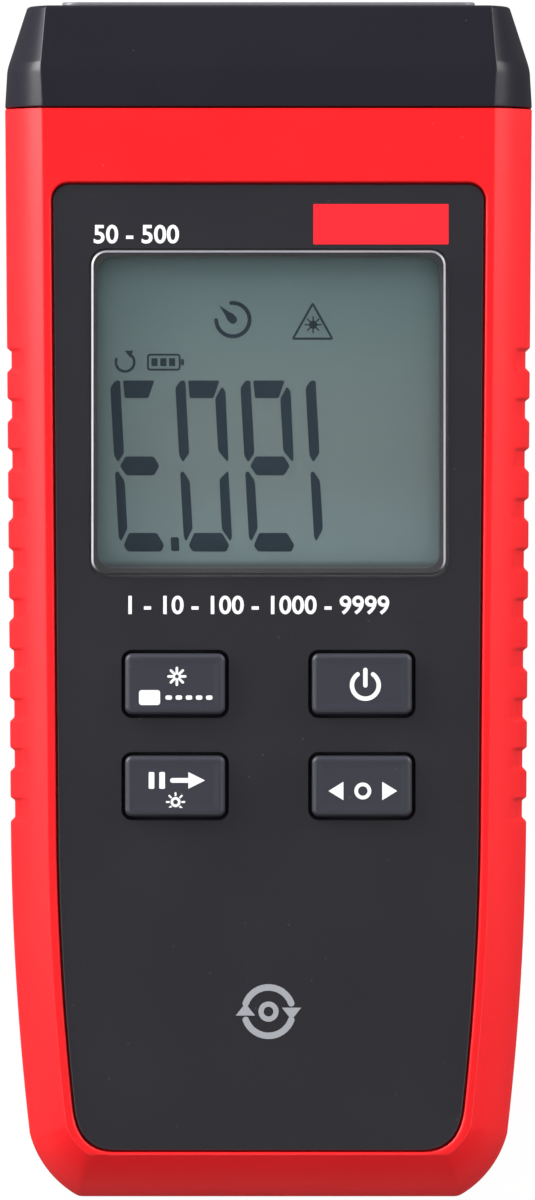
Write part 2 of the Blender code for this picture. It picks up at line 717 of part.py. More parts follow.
def make_battery_door():
    """The sliding door: curved plate, end wall, flanges under the shell's ledges, and thumb grooves."""
    finish = red_plastic()
    skin = case_half(BACK, DOOR_RECESS, DOOR_END_HEIGHT + OVERRUN, DOOR_RECESS, BAY_Y1 + OVERRUN)
    door = mesh_object("battery_door", skin, finish)
    plate, flange, end, end_flange = door_region(0.0, BOTTOM_Y + WALL)
    for addition in (flange, end, end_flange):
        fuse(plate, addition)
    combine(door, plate, "INTERSECT")
    hollow = case_half(BACK, WALL, CASE_DEPTH, WALL, BAY_Y1 + 2 * OVERRUN)
    cut(door, mesh_object("door_hollow", hollow, finish))
    first = BAY_Y1 - DOOR_FLANGE - DOOR_GRIP_MARGIN
    half = DOOR_GRIP_LENGTH / 2
    for i in range(DOOR_GRIP_COUNT):
        y = first - i * DOOR_GRIP_PITCH
        groove = block(
            f"door_groove_{i}",
            (-half, half),
            (y - DOOR_GRIP_WIDTH / 2, y + DOOR_GRIP_WIDTH / 2),
            (-OVERRUN, DOOR_RECESS + DOOR_GRIP_DEPTH),
        )
        cut(door, groove)
    return set_origin(door, (0.0, BAY_Y1, 0.0))


def cap_section(y, half, edge_share, depth_share, depth):
    """One upright ring of the end cap at y, this depth under its skin."""
    side = []
    for face in (FRONT, BACK):
        sign, wall_z, radius = face
        face_z = CASE_DEPTH - depth if sign > 0 else depth
        end = math.asin(abs(face_z - wall_z) / (radius - depth))
        arc = []
        for step in range(EDGE_STEPS + 1):
            angle = end * step / EDGE_STEPS
            x = half - depth - edge_share * (radius - depth) * (1 - math.cos(angle))
            z = wall_z + sign * (radius - depth) * math.sin(angle)
            arc.append((x, SEAM_Z + depth_share * (z - SEAM_Z)))
        side += reversed(arc) if sign > 0 else arc
    ring = [Vector((x, y, z)) for x, z in side]
    return ring + [Vector((-p.x, y, p.z)) for p in reversed(ring)]


def make_end_cap():
    """The charcoal cap: tapered nose, hollow behind, with a recess and two sight holes for the optics."""
    finish = charcoal_plastic()
    shoulder = (SEAM_Y + CAP_SHOULDER, CASE_HALF - CAP_NARROWING, CAP_SHOULDER_EDGE, 1.0)
    tip = (TIP_Y, CASE_HALF - CAP_TIP_NARROWING, CAP_TIP_EDGE, CAP_TIP_SQUASH)
    share = (TIP_Y - CAP_END - shoulder[0]) / (TIP_Y - shoulder[0])
    inner_end = [a + (b - a) * share for a, b in zip(shoulder, tip)]
    outer = [cap_section(SEAM_Y + PARTING, CASE_HALF, 1.0, 1.0, 0.0)]
    outer += [cap_section(*station, 0.0) for station in (shoulder, tip)]
    cap = mesh_object("end_cap", loft(outer), finish)
    inner = [cap_section(SEAM_Y - OVERRUN, CASE_HALF, 1.0, 1.0, CAP_WALL)]
    inner += [cap_section(*station, CAP_WALL) for station in (shoulder, inner_end)]
    cut(cap, mesh_object("cap_hollow", loft(inner), finish))
    recess_y = TIP_Y + WINDOW_PROUD - WINDOW_THICKNESS - GAP
    size = (WINDOW_WIDTH + 2 * PARTING, WINDOW_HEIGHT + 2 * PARTING)
    cut(cap, upright_slab("window_recess", size, WINDOW_RADIUS + PARTING, (recess_y, TIP_Y + OVERRUN)))
    for name, x, radius in (
        ("laser_hole", -OPTIC_SPREAD, BARREL_BORE),
        ("receiver_hole", OPTIC_SPREAD, TUBE_RADIUS - TUBE_WALL),
    ):
        hole = turned(name, rod(radius, CAP_END + 2 * OVERRUN), finish)
        cut(cap, lay_along_y(hole, x, TIP_Y - CAP_END - OVERRUN, SEAM_Z))
    return cap


def rod(radius, length):
    """Turning profile of a plain rod that starts at height 0."""
    return [(0, 0), (radius, 0), (radius, length), (0, length)]


def upright_slab(name, size, radius, y, finish=None):
    """A round-cornered slab that stands in the X and Z plane, centred on the seam's height."""
    points = rounded_rectangle(*size, radius, (0, SEAM_Z))
    rings = [[Vector((x, level, z)) for x, z in points] for level in y]
    return mesh_object(name, loft(rings), finish or charcoal_plastic())


def make_sensor_window():
    """The smoked window over the laser and the receiver, a little proud of the cap's end face."""
    smoke = material("smoked_acrylic", (0.05, 0.045, 0.05), 0.1, 0.0, 0.6)
    outer = TIP_Y + WINDOW_PROUD
    size = (WINDOW_WIDTH, WINDOW_HEIGHT)
    return upright_slab("sensor_window", size, WINDOW_RADIUS, (outer - WINDOW_THICKNESS, outer), smoke)


def make_face_panel():
    """The charcoal panel let into the front, with openings for the display lens and the keys."""
    finish = charcoal_plastic()
    panel = mesh_object("face_panel", prism(panel_outline(0.0), PANEL_Z, PANEL_TOP), finish)
    through = (PANEL_Z - OVERRUN, PANEL_TOP + OVERRUN)
    opening = rounded_rectangle(
        LENS_WIDTH + 2 * GAP, LENS_HEIGHT + 2 * GAP, LENS_RADIUS + GAP, (0, DISPLAY_Y)
    )
    cut(panel, mesh_object("panel_display_opening", prism(opening, *through), finish))
    for name, centre in KEYS.items():
        cut(panel, key_hole(f"panel_key_hole_{name}", centre, through))
    return panel


# Display


def make_display_window():
    """The clear lens over the display, with a chamfered front edge."""
    clear = material("clear_acrylic", (0.85, 0.9, 0.88), 0.05, 0.0, 0.3)
    top = PANEL_TOP + LENS_PROUD
    rings = []
    for z, inset in ((PANEL_Z, 0.0), (top - LENS_CHAMFER, 0.0), (top, LENS_CHAMFER)):
        size = (LENS_WIDTH - 2 * inset, LENS_HEIGHT - 2 * inset)
        rings.append(flat_ring(rounded_rectangle(*size, LENS_RADIUS - inset, (0, DISPLAY_Y)), z))
    return mesh_object("display_window", loft(rings), clear)


def centred(width, height, centre_y=DISPLAY_Y):
    """Limits of a rectangle on the case's middle line."""
    return (-width / 2, width / 2), (centre_y - height / 2, centre_y + height / 2)


def make_display_stack():
    """Liquid crystal glass, light guide, the frame that holds them on the board, and the zebra strip."""
    glass = material("lcd_glass", (0.16, 0.2, 0.19), 0.15)
    guide = material("light_guide", (0.8, 0.82, 0.8), 0.3)
    frame = material("white_plastic", (0.75, 0.75, 0.73), 0.5)
    rubber = material("zebra_rubber", (0.55, 0.42, 0.4), 0.7)
    block("lcd_glass", *centred(GLASS_WIDTH, GLASS_HEIGHT), (GLASS_Z, GLASS_Z + GLASS_THICKNESS), glass)
    zebra_space = ZEBRA_WIDTH + 2 * GAP
    guide_height = GLASS_HEIGHT - zebra_space
    guide_y = DISPLAY_Y + zebra_space / 2
    guide_z = (LIGHT_Z, LIGHT_Z + LIGHT_THICKNESS)
    block("backlight_guide", *centred(GLASS_WIDTH, guide_height, guide_y), guide_z, guide)
    strip_y = DISPLAY_Y - GLASS_HEIGHT / 2 + ZEBRA_WIDTH / 2
    strip_z = (BOARD_TOP + GAP, GLASS_Z - GAP)
    block("zebra_strip", *centred(LENS_WIDTH, ZEBRA_WIDTH, strip_y), strip_z, rubber)

    holder_z = (HOLDER_Z, GLASS_Z + GLASS_THICKNESS - GAP)
    holder = block("lcd_holder", *centred(HOLDER_WIDTH, HOLDER_HEIGHT), holder_z, frame)
    inside = centred(GLASS_WIDTH + 2 * GAP, GLASS_HEIGHT + 2 * GAP)
    seat_z = HOLDER_Z + HOLDER_LEDGE
    cut(holder, block("holder_well", *inside, (seat_z, CASE_DEPTH)))
    ledge = 2 * HOLDER_WALL
    way = centred(GLASS_WIDTH - 2 * ledge, GLASS_HEIGHT - 2 * ledge)
    cut(holder, block("holder_way", *way, (HOLDER_Z - OVERRUN, CASE_DEPTH)))
    strip_way = centred(LENS_WIDTH + 2 * GAP, ZEBRA_WIDTH + 2 * GAP, strip_y)
    cut(holder, block("holder_strip_way", *strip_way, (HOLDER_Z - OVERRUN, CASE_DEPTH)))


# Keys and switches


def make_key(name, centre):
    """One key cap: soft rounded top, straight shank and a flange that stops under the shell."""
    top = PANEL_TOP + KEY_PROUD
    levels = [
        (KEY_BASE_Z, -KEY_FLANGE),
        (KEY_BASE_Z + KEY_FLANGE_THICKNESS, -KEY_FLANGE),
        (KEY_BASE_Z + KEY_FLANGE_THICKNESS, 0.0),
    ]
    for step in range(4):
        angle = math.pi / 2 * step / 3
        drop = KEY_ROUND * (1 - math.sin(angle))
        levels.append((top - drop, KEY_ROUND * (1 - math.cos(angle))))
    rings = []
    for z, inset in levels:
        size = (KEY_WIDTH - 2 * inset, KEY_HEIGHT - 2 * inset)
        radius = KEY_RADIUS - min(inset, KEY_RADIUS / 2)
        rings.append(flat_ring(rounded_rectangle(*size, radius, centre, steps=3), z))
    key = mesh_object(f"key_{name}", loft(rings), key_plastic())
    return set_origin(key, (*centre, KEY_BASE_Z))


def make_switch(name, centre, key):
    """A square tactile switch with a well for its plunger, and the plunger, which moves with the key."""
    body = material("switch_body", (0.05, 0.05, 0.055), 0.5)
    x = (centre[0] - SWITCH_SIZE / 2, centre[0] + SWITCH_SIZE / 2)
    y = (centre[1] - SWITCH_SIZE / 2, centre[1] + SWITCH_SIZE / 2)
    switch = block(f"switch_{name}", x, y, (BOARD_TOP + GAP, SWITCH_TOP), body)
    well = SWITCH_TOP - PLUNGER_SINK - KEY_TRAVEL - GAP
    cut(switch, post(f"switch_well_{name}", centre, PLUNGER_RADIUS + GAP, (well, CASE_DEPTH), 16))
    foot = SWITCH_TOP - PLUNGER_SINK
    white = material("plunger_plastic", (0.7, 0.69, 0.66), 0.45)
    plunger = post(f"plunger_{name}", centre, PLUNGER_RADIUS, (foot, PLUNGER_TOP), 16, white)
    set_origin(plunger, (*centre, foot))
    plunger.parent = key
    plunger.location -= key.location


# Circuit board


def make_circuit_board():
    """The green board, notched round the case bosses and drilled for its screws."""
    green = material("board_laminate", (0.02, 0.16, 0.07), 0.4)
    side = BOARD_WIDTH / 2
    board = block("circuit_board", (-side, side), (BOARD_Y0, BOARD_Y1), (BOARD_Z, BOARD_TOP), green)
    through = (BOARD_Z - OVERRUN, BOARD_TOP + OVERRUN)
    for i, (x, y) in enumerate(POSTS):
        cut(board, post(f"board_notch_{i}", (x, y), BOSS_RADIUS + 2 * GAP, through))
        edge = sorted((x, x + math.copysign(POST_INSET, x)))
        notch = (y - BOSS_RADIUS - 2 * GAP, y + BOSS_RADIUS + 2 * GAP)
        cut(board, block(f"board_notch_side_{i}", edge, notch, through))
    for i, (x, y) in enumerate(STANDOFFS):
        cut(board, post(f"board_hole_{i}", (x, y), BOARD_SCREW_RADIUS + GAP, through, 12))
    return board


def make_board_parts():
    """The processor and the crystal on the back of the board."""
    resin = material("chip_resin", (0.02, 0.02, 0.022), 0.5)
    y = DISPLAY_Y
    top = BOARD_Z - GAP
    block("processor_chip", *centred(CHIP_SIZE, CHIP_SIZE, y), (top - CHIP_HEIGHT, top), resin)
    can = prism(
        rounded_rectangle(CRYSTAL_WIDTH, CRYSTAL_LENGTH, CRYSTAL_WIDTH / 2 - GAP, (CRYSTAL_OFFSET, y), 5),
        top - 2 * CHIP_HEIGHT,
        top,
    )
    mesh_object("crystal_can", can, steel())


# Fasteners


def screw_profile(head_radius, head_height, radius, length):
    """Turning profile of a pan-head screw: head at the foot, shank up, with a short point."""
    return [
        (0, 0),
        (head_radius * 0.6, 0),
        (head_radius, head_height * 0.5),
        (head_radius, head_height),
        (radius, head_height),
        (radius, head_height + length - radius),
        (radius * 0.4, head_height + length),
        (0, head_height + length),
    ]


def make_screws():
    """Four case screws in the back and three small ones that hold the board."""
    head_top = SCREW_SINK + SCREW_HEAD_HEIGHT
    length = SEAM_Z + SCREW_GRIP - head_top
    profile = screw_profile(SCREW_HEAD_RADIUS, SCREW_HEAD_HEIGHT, SCREW_RADIUS, length)
    for i, (x, y) in enumerate(POSTS, 1):
        turned(f"case_screw_{i}", profile, steel(), 14).location = (x, y, SCREW_SINK)
    foot = BOARD_Z - GAP - BOARD_SCREW_HEAD_HEIGHT
    length = BOARD_TOP + BOARD_SCREW_LENGTH - OVERRUN - foot - BOARD_SCREW_HEAD_HEIGHT
    profile = screw_profile(BOARD_SCREW_HEAD_RADIUS, BOARD_SCREW_HEAD_HEIGHT, BOARD_SCREW_RADIUS, length)
    for i, (x, y) in enumerate(STANDOFFS, 1):
        turned(f"board_screw_{i}", profile, steel(), 12).location = (x, y, foot)


# Battery cells, contacts and leads


def cell_x(index):
    """Across the case, the middle of a cell."""
    return (index - (CELL_COUNT - 1) / 2) * CELL_SPACING


def make_cells():
    """Three cells side by side, the middle one the other way round, each on a conical spring."""
    wrap = material("cell_wrap", (0.03, 0.03, 0.035), 0.35)
    radius = CELL_DIAMETER / 2
    can = CELL_LENGTH - NIPPLE_HEIGHT
    profile = [
        (0, 0),
        (radius - CELL_CRIMP, 0),
        (radius, CELL_CRIMP),
        (radius, can - CELL_CRIMP),
        (radius - CELL_CRIMP, can),
        (NIPPLE_RADIUS, can),
        (NIPPLE_RADIUS, CELL_LENGTH),
        (0, CELL_LENGTH),
    ]
    reach = GAP + CONTACT_THICKNESS + SPRING_SPACE
    for i in range(CELL_COUNT):
        flip = i % 2 == 1
        y = BAY_Y1 - reach if flip else BAY_Y0 + reach
        lay_along_y(turned(f"cell_{i + 1}", profile, wrap), cell_x(i), y, CELL_Z, flip)
        make_spring(i, flip)


def make_spring(index, flip):
    """A conical contact spring as a swept wire, wide at the wall and narrow at the cell."""
    steps = round(SPRING_TURNS * 10)
    length = SPRING_SPACE - 2 * GAP - 2 * SPRING_WIRE
    base = GAP + CONTACT_THICKNESS + GAP + SPRING_WIRE
    curve = bpy.data.curves.new(f"spring_{index + 1}", "CURVE")
    curve.dimensions = "3D"
    curve.bevel_depth = SPRING_WIRE
    curve.bevel_resolution = 0
    curve.use_fill_caps = True
    spline = curve.splines.new("POLY")
    spline.points.add(steps)
    for i in range(steps + 1):
        share = i / steps
        angle = 2 * math.pi * SPRING_TURNS * share
        radius = SPRING_WIDE + (SPRING_NARROW - SPRING_WIDE) * share
        along = base + length * share
        y = BAY_Y1 - along if flip else BAY_Y0 + along
        place = (cell_x(index) + radius * math.cos(angle), y, CELL_Z + radius * math.sin(angle))
        spline.points[i].co = (*place, 1)
    curve.materials.append(steel())
    spring = bpy.data.objects.new(curve.name, curve)
    bpy.context.collection.objects.link(spring)
    return spring


def make_contacts():
    """Sheet contacts at both ends of the bay: two that bridge a pair of cells and two with solder tabs."""
    half = CONTACT_SIZE / 2
    z = (CELL_Z - half, CELL_Z + half)
    low = (BAY_Y0 + GAP, BAY_Y0 + GAP + CONTACT_THICKNESS)
    high = (BAY_Y1 - GAP - CONTACT_THICKNESS, BAY_Y1 - GAP)
    block("contact_bridge_bottom", (cell_x(0) - half, cell_x(1) + half), low, z)
    block("contact_bridge_top", (cell_x(1) - half, cell_x(2) + half), high, z)
    tab_z = (TAB_Z, TAB_Z + CONTACT_THICKNESS)
    rise = (CELL_Z, TAB_Z + CONTACT_THICKNESS)

    positive = block("contact_positive", (cell_x(0) - half, cell_x(0) + half), high, z)
    tab_x = (cell_x(0) - TAB_WIDTH / 2, cell_x(0) + TAB_WIDTH / 2)
    fuse(positive, block("positive_riser", tab_x, high, rise))
    tab_end = BAY_Y1 + BAY_WALL + TAB_REACH
    fuse(positive, block("positive_tab", tab_x, (high[0], tab_end), tab_z))

    negative = block("contact_negative", (cell_x(2) - half, cell_x(2) + half), low, z)
    arm_x = (cell_x(2), BAY_HALF + BAY_WALL + TAB_REACH)
    fuse(negative, block("negative_riser", (cell_x(2), cell_x(2) + half), low, rise))
    fuse(negative, block("negative_arm", arm_x, low, tab_z))


def make_lead(name, colour, route, radius=LEAD_RADIUS):
    """An insulated lead along a smooth curve through its route."""
    finish = material(f"{name}_sleeve", colour, 0.45)
    points = smooth_route([Vector(p) for p in route])
    curve = bpy.data.curves.new(name, "CURVE")
    curve.dimensions = "3D"
    curve.bevel_depth = radius
    curve.bevel_resolution = 1
    curve.use_fill_caps = True
    spline = curve.splines.new("POLY")
    spline.points.add(len(points) - 1)
    for place, point in zip(points, spline.points):
        point.co = (*place, 1)
    curve.materials.append(finish)
    lead = bpy.data.objects.new(name, curve)
    bpy.context.collection.objects.link(lead)
    return lead


def smooth_route(route, steps=4):
    """Points along a Catmull-Rom curve through the route's own points."""
    padded = [2 * route[0] - route[1], *route, 2 * route[-1] - route[-2]]
    points = []
    for p0, p1, p2, p3 in zip(padded, padded[1:], padded[2:], padded[3:]):
        for i in range(steps):
            t = i / steps
            pull = (p2 - p0) * t + (2 * p0 - 5 * p1 + 4 * p2 - p3) * t**2
            points.append(p1 + (pull + (3 * p1 - p0 - 3 * p2 + p3) * t**3) / 2)
    return [*points, route[-1]]


def make_leads():
    """Leads from the battery contacts, the laser and the photodiode to the back of the board."""
    red = (0.6, 0.02, 0.02)
    black = (0.02, 0.02, 0.02)
    landing = BOARD_Z - GAP
    tab_top = TAB_Z + CONTACT_THICKNESS + GAP + LEAD_RADIUS
    wall_y = BAY_Y1 + BAY_WALL
    x = cell_x(0)
    reach = wall_y + TAB_REACH + 6 * LEAD_RADIUS
    make_lead(
        "battery_lead_positive",
        red,
        [
            (x, wall_y + GAP + LEAD_RADIUS, tab_top),
            (x, wall_y + TAB_REACH + LEAD_RADIUS, tab_top),
            (x, reach, tab_top + LEAD_RADIUS),
            (x, reach + 2 * LEAD_RADIUS, landing),
        ],
    )
    side = BAY_HALF + BAY_WALL + GAP + LEAD_RADIUS
    foot = BAY_Y0 + GAP + CONTACT_THICKNESS
    turn = BOARD_Y0 + 4 * LEAD_RADIUS
    low = CELL_Z + LEAD_RADIUS
    make_lead(
        "battery_lead_negative",
        black,
        [
            (side, foot + GAP + LEAD_RADIUS, TAB_Z),
            (side, foot + 6 * LEAD_RADIUS, low + 2 * LEAD_RADIUS),
            (side, foot + 14 * LEAD_RADIUS, low),
            (side, (foot + turn) / 2, low),
            (side, turn - 8 * LEAD_RADIUS, low + 2 * LEAD_RADIUS),
            (side, turn, landing),
        ],
    )
    barrel_end = barrel_foot()
    diode_end = tube_foot() - DIODE_LENGTH / 2
    for name, x, start, colours in (
        ("laser_lead", -OPTIC_SPREAD, barrel_end, (red, black)),
        ("sensor_lead", OPTIC_SPREAD, diode_end, ((0.7, 0.55, 0.1), (0.3, 0.3, 0.32))),
    ):
        for number, (offset, colour) in enumerate(zip((-1, 1), colours), 1):
            way = x + offset * 2.5 * LEAD_RADIUS
            end = BOARD_Y1 - 10 * LEAD_RADIUS
            make_lead(
                f"{name}_{number}",
                colour,
                [
                    (way, start - GAP, SEAM_Z),
                    (way, start - 3 * LEAD_RADIUS, SEAM_Z - LEAD_RADIUS),
                    (way, end + 3 * LEAD_RADIUS, SEAM_Z - LEAD_RADIUS),
                    (way, end, landing),
                ],
                LEAD_RADIUS * 0.8,
            )


# Optics


def barrel_foot():
    """Y of the laser barrel's rear end."""
    return TIP_Y - CAP_END - GAP - BARREL_LENGTH


def tube_foot():
    """Y of the receiver tube's rear end."""
    return TIP_Y - CAP_END - GAP - TUBE_LENGTH


def optics_block_y():
    """Y limits of the block that carries both optics."""
    front = TIP_Y - CAP_END - HOLDER_BLOCK_SETBACK
    return front - HOLDER_BLOCK_LENGTH, front


def optics_block_z():
    """Z limits of the block that carries both optics."""
    reach = TUBE_RADIUS + GAP + HOLDER_BLOCK_MARGIN / 2
    return SEAM_Z - reach, SEAM_Z + reach


def optics_pad_places():
    """X of the pads in the rear shell that the optics block stands on."""
    return -OPTIC_SPREAD, OPTIC_SPREAD


def make_optics():
    """Laser barrel and receiver tube with their lenses, the photodiode, and the block that carries them."""
    brass = material("brass", (0.72, 0.53, 0.25), 0.3, 1.0)
    black = material("black_plastic", (0.02, 0.02, 0.02), 0.6)
    crystal = material("optical_glass", (0.8, 0.85, 0.9), 0.03, 0.0, 0.4)
    foot = barrel_foot()
    bore = BARREL_LENGTH - BARREL_BORE_DEPTH
    barrel = [
        (0, 0),
        (BARREL_RADIUS, 0),
        (BARREL_RADIUS, BARREL_LENGTH),
        (BARREL_BORE, BARREL_LENGTH),
        (BARREL_BORE, bore),
        (0, bore),
    ]
    lay_along_y(turned("laser_barrel", barrel, brass), -OPTIC_SPREAD, foot, SEAM_Z)
    small_lens = dome_profile(BARREL_BORE - GAP, BARREL_LENS_THICKNESS / 2, BARREL_LENS_THICKNESS / 2)
    lay_along_y(turned("laser_lens", small_lens, crystal, 16), -OPTIC_SPREAD, foot + bore + GAP, SEAM_Z)

    foot = tube_foot()
    inner = TUBE_RADIUS - TUBE_WALL
    tube = [
        (TUBE_REAR_BORE, 0),
        (TUBE_RADIUS, 0),
        (TUBE_RADIUS, TUBE_LENGTH),
        (inner, TUBE_LENGTH),
        (inner, TUBE_LENGTH - TUBE_SEAT),
        (inner - TUBE_WALL, TUBE_LENGTH - TUBE_SEAT),
        (TUBE_REAR_BORE, TUBE_REAR_LENGTH),
        (TUBE_REAR_BORE, 0),
    ]
    lay_along_y(turned("receiver_tube", tube, black), OPTIC_SPREAD, foot, SEAM_Z)
    disc = dome_profile(inner - GAP, LENS_DISC_THICKNESS, LENS_DOME)
    seat = foot + TUBE_LENGTH - TUBE_SEAT + GAP
    lay_along_y(turned("receiver_lens", disc, crystal), OPTIC_SPREAD, seat, SEAM_Z)
    diode = [
        (0, 0),
        (DIODE_RADIUS + DIODE_FLANGE, 0),
        (DIODE_RADIUS + DIODE_FLANGE, 2 * DIODE_FLANGE),
        (DIODE_RADIUS, 2 * DIODE_FLANGE),
        (DIODE_RADIUS, DIODE_LENGTH - DIODE_RADIUS / 2),
        (DIODE_RADIUS * 0.7, DIODE_LENGTH - DIODE_RADIUS / 6),
        (0, DIODE_LENGTH),
    ]
    resin = material("diode_resin", (0.05, 0.03, 0.06), 0.15)
    lay_along_y(turned("photodiode", diode, resin, 16), OPTIC_SPREAD, foot - DIODE_LENGTH / 2, SEAM_Z)

    y = optics_block_y()
    z = optics_block_z()
    left = OPTIC_SPREAD + BARREL_RADIUS + HOLDER_BLOCK_MARGIN
    right = OPTIC_SPREAD + TUBE_RADIUS + HOLDER_BLOCK_MARGIN
    carrier = block("optics_block", (-left, right), y, z, black)
    for name, place, radius in (
        ("barrel_bore", -OPTIC_SPREAD, BARREL_RADIUS + GAP),
        ("tube_bore", OPTIC_SPREAD, TUBE_RADIUS + GAP),
    ):
        hole = turned(name, rod(radius, HOLDER_BLOCK_LENGTH + 2 * OVERRUN), black)
        cut(carrier, lay_along_y(hole, place, y[0] - OVERRUN, SEAM_Z))
    return carrier


def dome_profile(radius, rim, dome, steps=4):
    """Turning profile of a lens with a flat back, a plain rim and a domed front."""
    sphere = (radius**2 + dome**2) / (2 * dome)
    end = math.asin(radius / sphere)
    profile = [(0, 0), (radius, 0), (radius, rim)]
    for step in range(1, steps):
        angle = end * (1 - step / steps)
        profile.append((sphere * math.sin(angle), rim + dome - sphere * (1 - math.cos(angle))))
    return [*profile, (0, rim + dome)]


def main():
    """Builds every piece of the tachometer."""
    clear_scene()
    make_front_shell()
    make_rear_shell()
    make_end_cap()
    make_sensor_window()
    make_face_panel()
    make_display_window()
    make_display_stack()
    for name, centre in KEYS.items():
        make_switch(name, centre, make_key(name, centre))
    make_circuit_board()
    make_board_parts()
    make_battery_door()
    make_cells()
    make_contacts()
    make_optics()
    make_screws()
    make_leads()


main()
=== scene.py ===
"""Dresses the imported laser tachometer: moulded housing, display, keys, inner works and studio.

It lies on its back. X runs across the case, Y towards the sensor end and Z up out of the face.
Sizes are metres, written as millimetres times MM. Lists of bare millimetres are scaled where they are used.
"""

from __future__ import annotations

import logging
import math
from dataclasses import dataclass
from dataclasses import field
from enum import Enum
from typing import Sequence

import bmesh
import bpy
from mathutils import Matrix, Vector

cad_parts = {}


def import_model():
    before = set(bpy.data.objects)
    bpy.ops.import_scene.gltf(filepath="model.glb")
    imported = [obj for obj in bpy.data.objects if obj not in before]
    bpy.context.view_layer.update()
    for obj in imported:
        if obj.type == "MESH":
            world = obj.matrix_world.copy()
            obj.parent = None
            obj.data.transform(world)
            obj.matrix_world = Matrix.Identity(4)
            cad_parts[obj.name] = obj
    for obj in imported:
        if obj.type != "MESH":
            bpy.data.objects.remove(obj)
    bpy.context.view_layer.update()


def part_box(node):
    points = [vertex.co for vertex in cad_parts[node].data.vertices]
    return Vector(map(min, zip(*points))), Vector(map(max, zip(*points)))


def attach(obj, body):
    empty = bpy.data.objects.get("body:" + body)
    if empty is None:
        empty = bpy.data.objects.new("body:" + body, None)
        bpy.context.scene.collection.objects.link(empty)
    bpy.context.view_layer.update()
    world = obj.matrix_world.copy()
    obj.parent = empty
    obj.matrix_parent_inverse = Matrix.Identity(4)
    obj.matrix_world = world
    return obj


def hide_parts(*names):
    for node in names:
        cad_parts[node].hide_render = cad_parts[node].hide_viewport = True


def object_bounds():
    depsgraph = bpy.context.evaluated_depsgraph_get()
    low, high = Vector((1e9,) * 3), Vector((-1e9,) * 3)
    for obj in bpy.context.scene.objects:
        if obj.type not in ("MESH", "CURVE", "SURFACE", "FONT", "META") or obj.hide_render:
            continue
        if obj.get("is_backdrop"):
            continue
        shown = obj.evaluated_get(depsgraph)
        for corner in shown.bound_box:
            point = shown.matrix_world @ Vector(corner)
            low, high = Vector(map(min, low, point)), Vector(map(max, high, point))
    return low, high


LOG = logging.getLogger("tachometer")
MM = 0.001
GAP = 0.3 * MM
PARTING = 0.2 * MM
OVERRUN = 1.0 * MM
LEAST_ROUND = 0.04 * MM
SEAM_DROP = 0.35 * MM

Point = tuple[float, float]
Place = tuple[float, float, float]
Colour = tuple[float, float, float]
Piece = bpy.types.Object
Shape = bmesh.types.BMesh
Material = bpy.types.Material
Finishes = dict[str, Material]
Tree = bpy.types.NodeTree
Node = bpy.types.Node
Socket = bpy.types.NodeSocket


class Operation(Enum):
    """What a Boolean does with the other solid."""

    CUT = "DIFFERENCE"
    JOIN = "UNION"
    KEEP = "INTERSECT"


def span(middle: float, half: float) -> Point:
    """Limits this far to each side of a middle."""
    return (middle - half, middle + half)


def smooth(share: float) -> float:
    """Eases a share from 0 to 1 with level ends."""
    return share * share * (3 - 2 * share)


def mix(a: float, b: float, share: float) -> float:
    """Value at this share of the way from a to b."""
    return a + (b - a) * share


def added(name: str, data: bpy.types.ID) -> Piece:
    """A new object with this mesh, camera, lamp or text, in the scene."""
    made = bpy.data.objects.new(name, data)
    bpy.context.collection.objects.link(made)
    return made


def solid(name: str, shape: Shape) -> Piece:
    """Turns closed bmesh shapes into an object whose faces point outwards.

    Args:
        name: name of the object.
        shape: the bmesh, which is freed.

    Returns:
        The new object, in the scene.
    """
    bmesh.ops.recalc_face_normals(shape, faces=shape.faces)
    mesh = bpy.data.meshes.new(name)
    shape.to_mesh(mesh)
    shape.free()
    return added(name, mesh)


def settle(target: Piece) -> Piece:
    """Puts the result of an object's modifiers into its mesh.

    Args:
        target: the object, whose modifiers are removed.

    Returns:
        The same object.
    """
    graph = bpy.context.evaluated_depsgraph_get()
    result = bpy.data.meshes.new_from_object(target.evaluated_get(graph), depsgraph=graph)
    target.modifiers.clear()
    old = target.data
    target.data = result
    bpy.data.meshes.remove(old)
    return target


def combine(target: Piece, operation: Operation, others: Sequence[Piece]) -> Piece:
    """Applies a Boolean with each of the other solids, which are removed.

    Args:
        target: the solid that is changed.
        operation: cut, join or keep.
        others: the other solids.

    Returns:
        The changed object.
    """
    for other in others:
        modifier = target.modifiers.new(other.name, "BOOLEAN")
        modifier.operation = operation.value
        modifier.solver = "MANIFOLD"
        modifier.object = other
    settle(target)
    for other in others:
        bpy.data.objects.remove(other, do_unlink=True)
    return target


def shade(target: Piece, sharp: float = 30.0) -> Piece:
    """Shades an object smooth between its sharp edges, with flat faces left flat.

    Args:
        target: the object.
        sharp: angle in degrees from which an edge is sharp.

    Returns:
        The same object.
    """
    target.data.shade_smooth()
    target.data.set_sharp_from_angle(angle=math.radians(sharp))
    modifier = target.modifiers.new("weighted normals", "WEIGHTED_NORMAL")
    modifier.mode = "FACE_AREA"
    modifier.keep_sharp = True
    return settle(target)


def join(name: str, parts: Sequence[Piece]) -> Piece:
    """Puts several objects at the origin into one, each still a body of its own.

    Args:
        name: name of the new object.
        parts: the objects, which are removed.

    Returns:
        The joined object.
    """
    shape = bmesh.new()
    for part in parts:
        shape.from_mesh(part.data)
        bpy.data.objects.remove(part, do_unlink=True)
    return solid(name, shape)


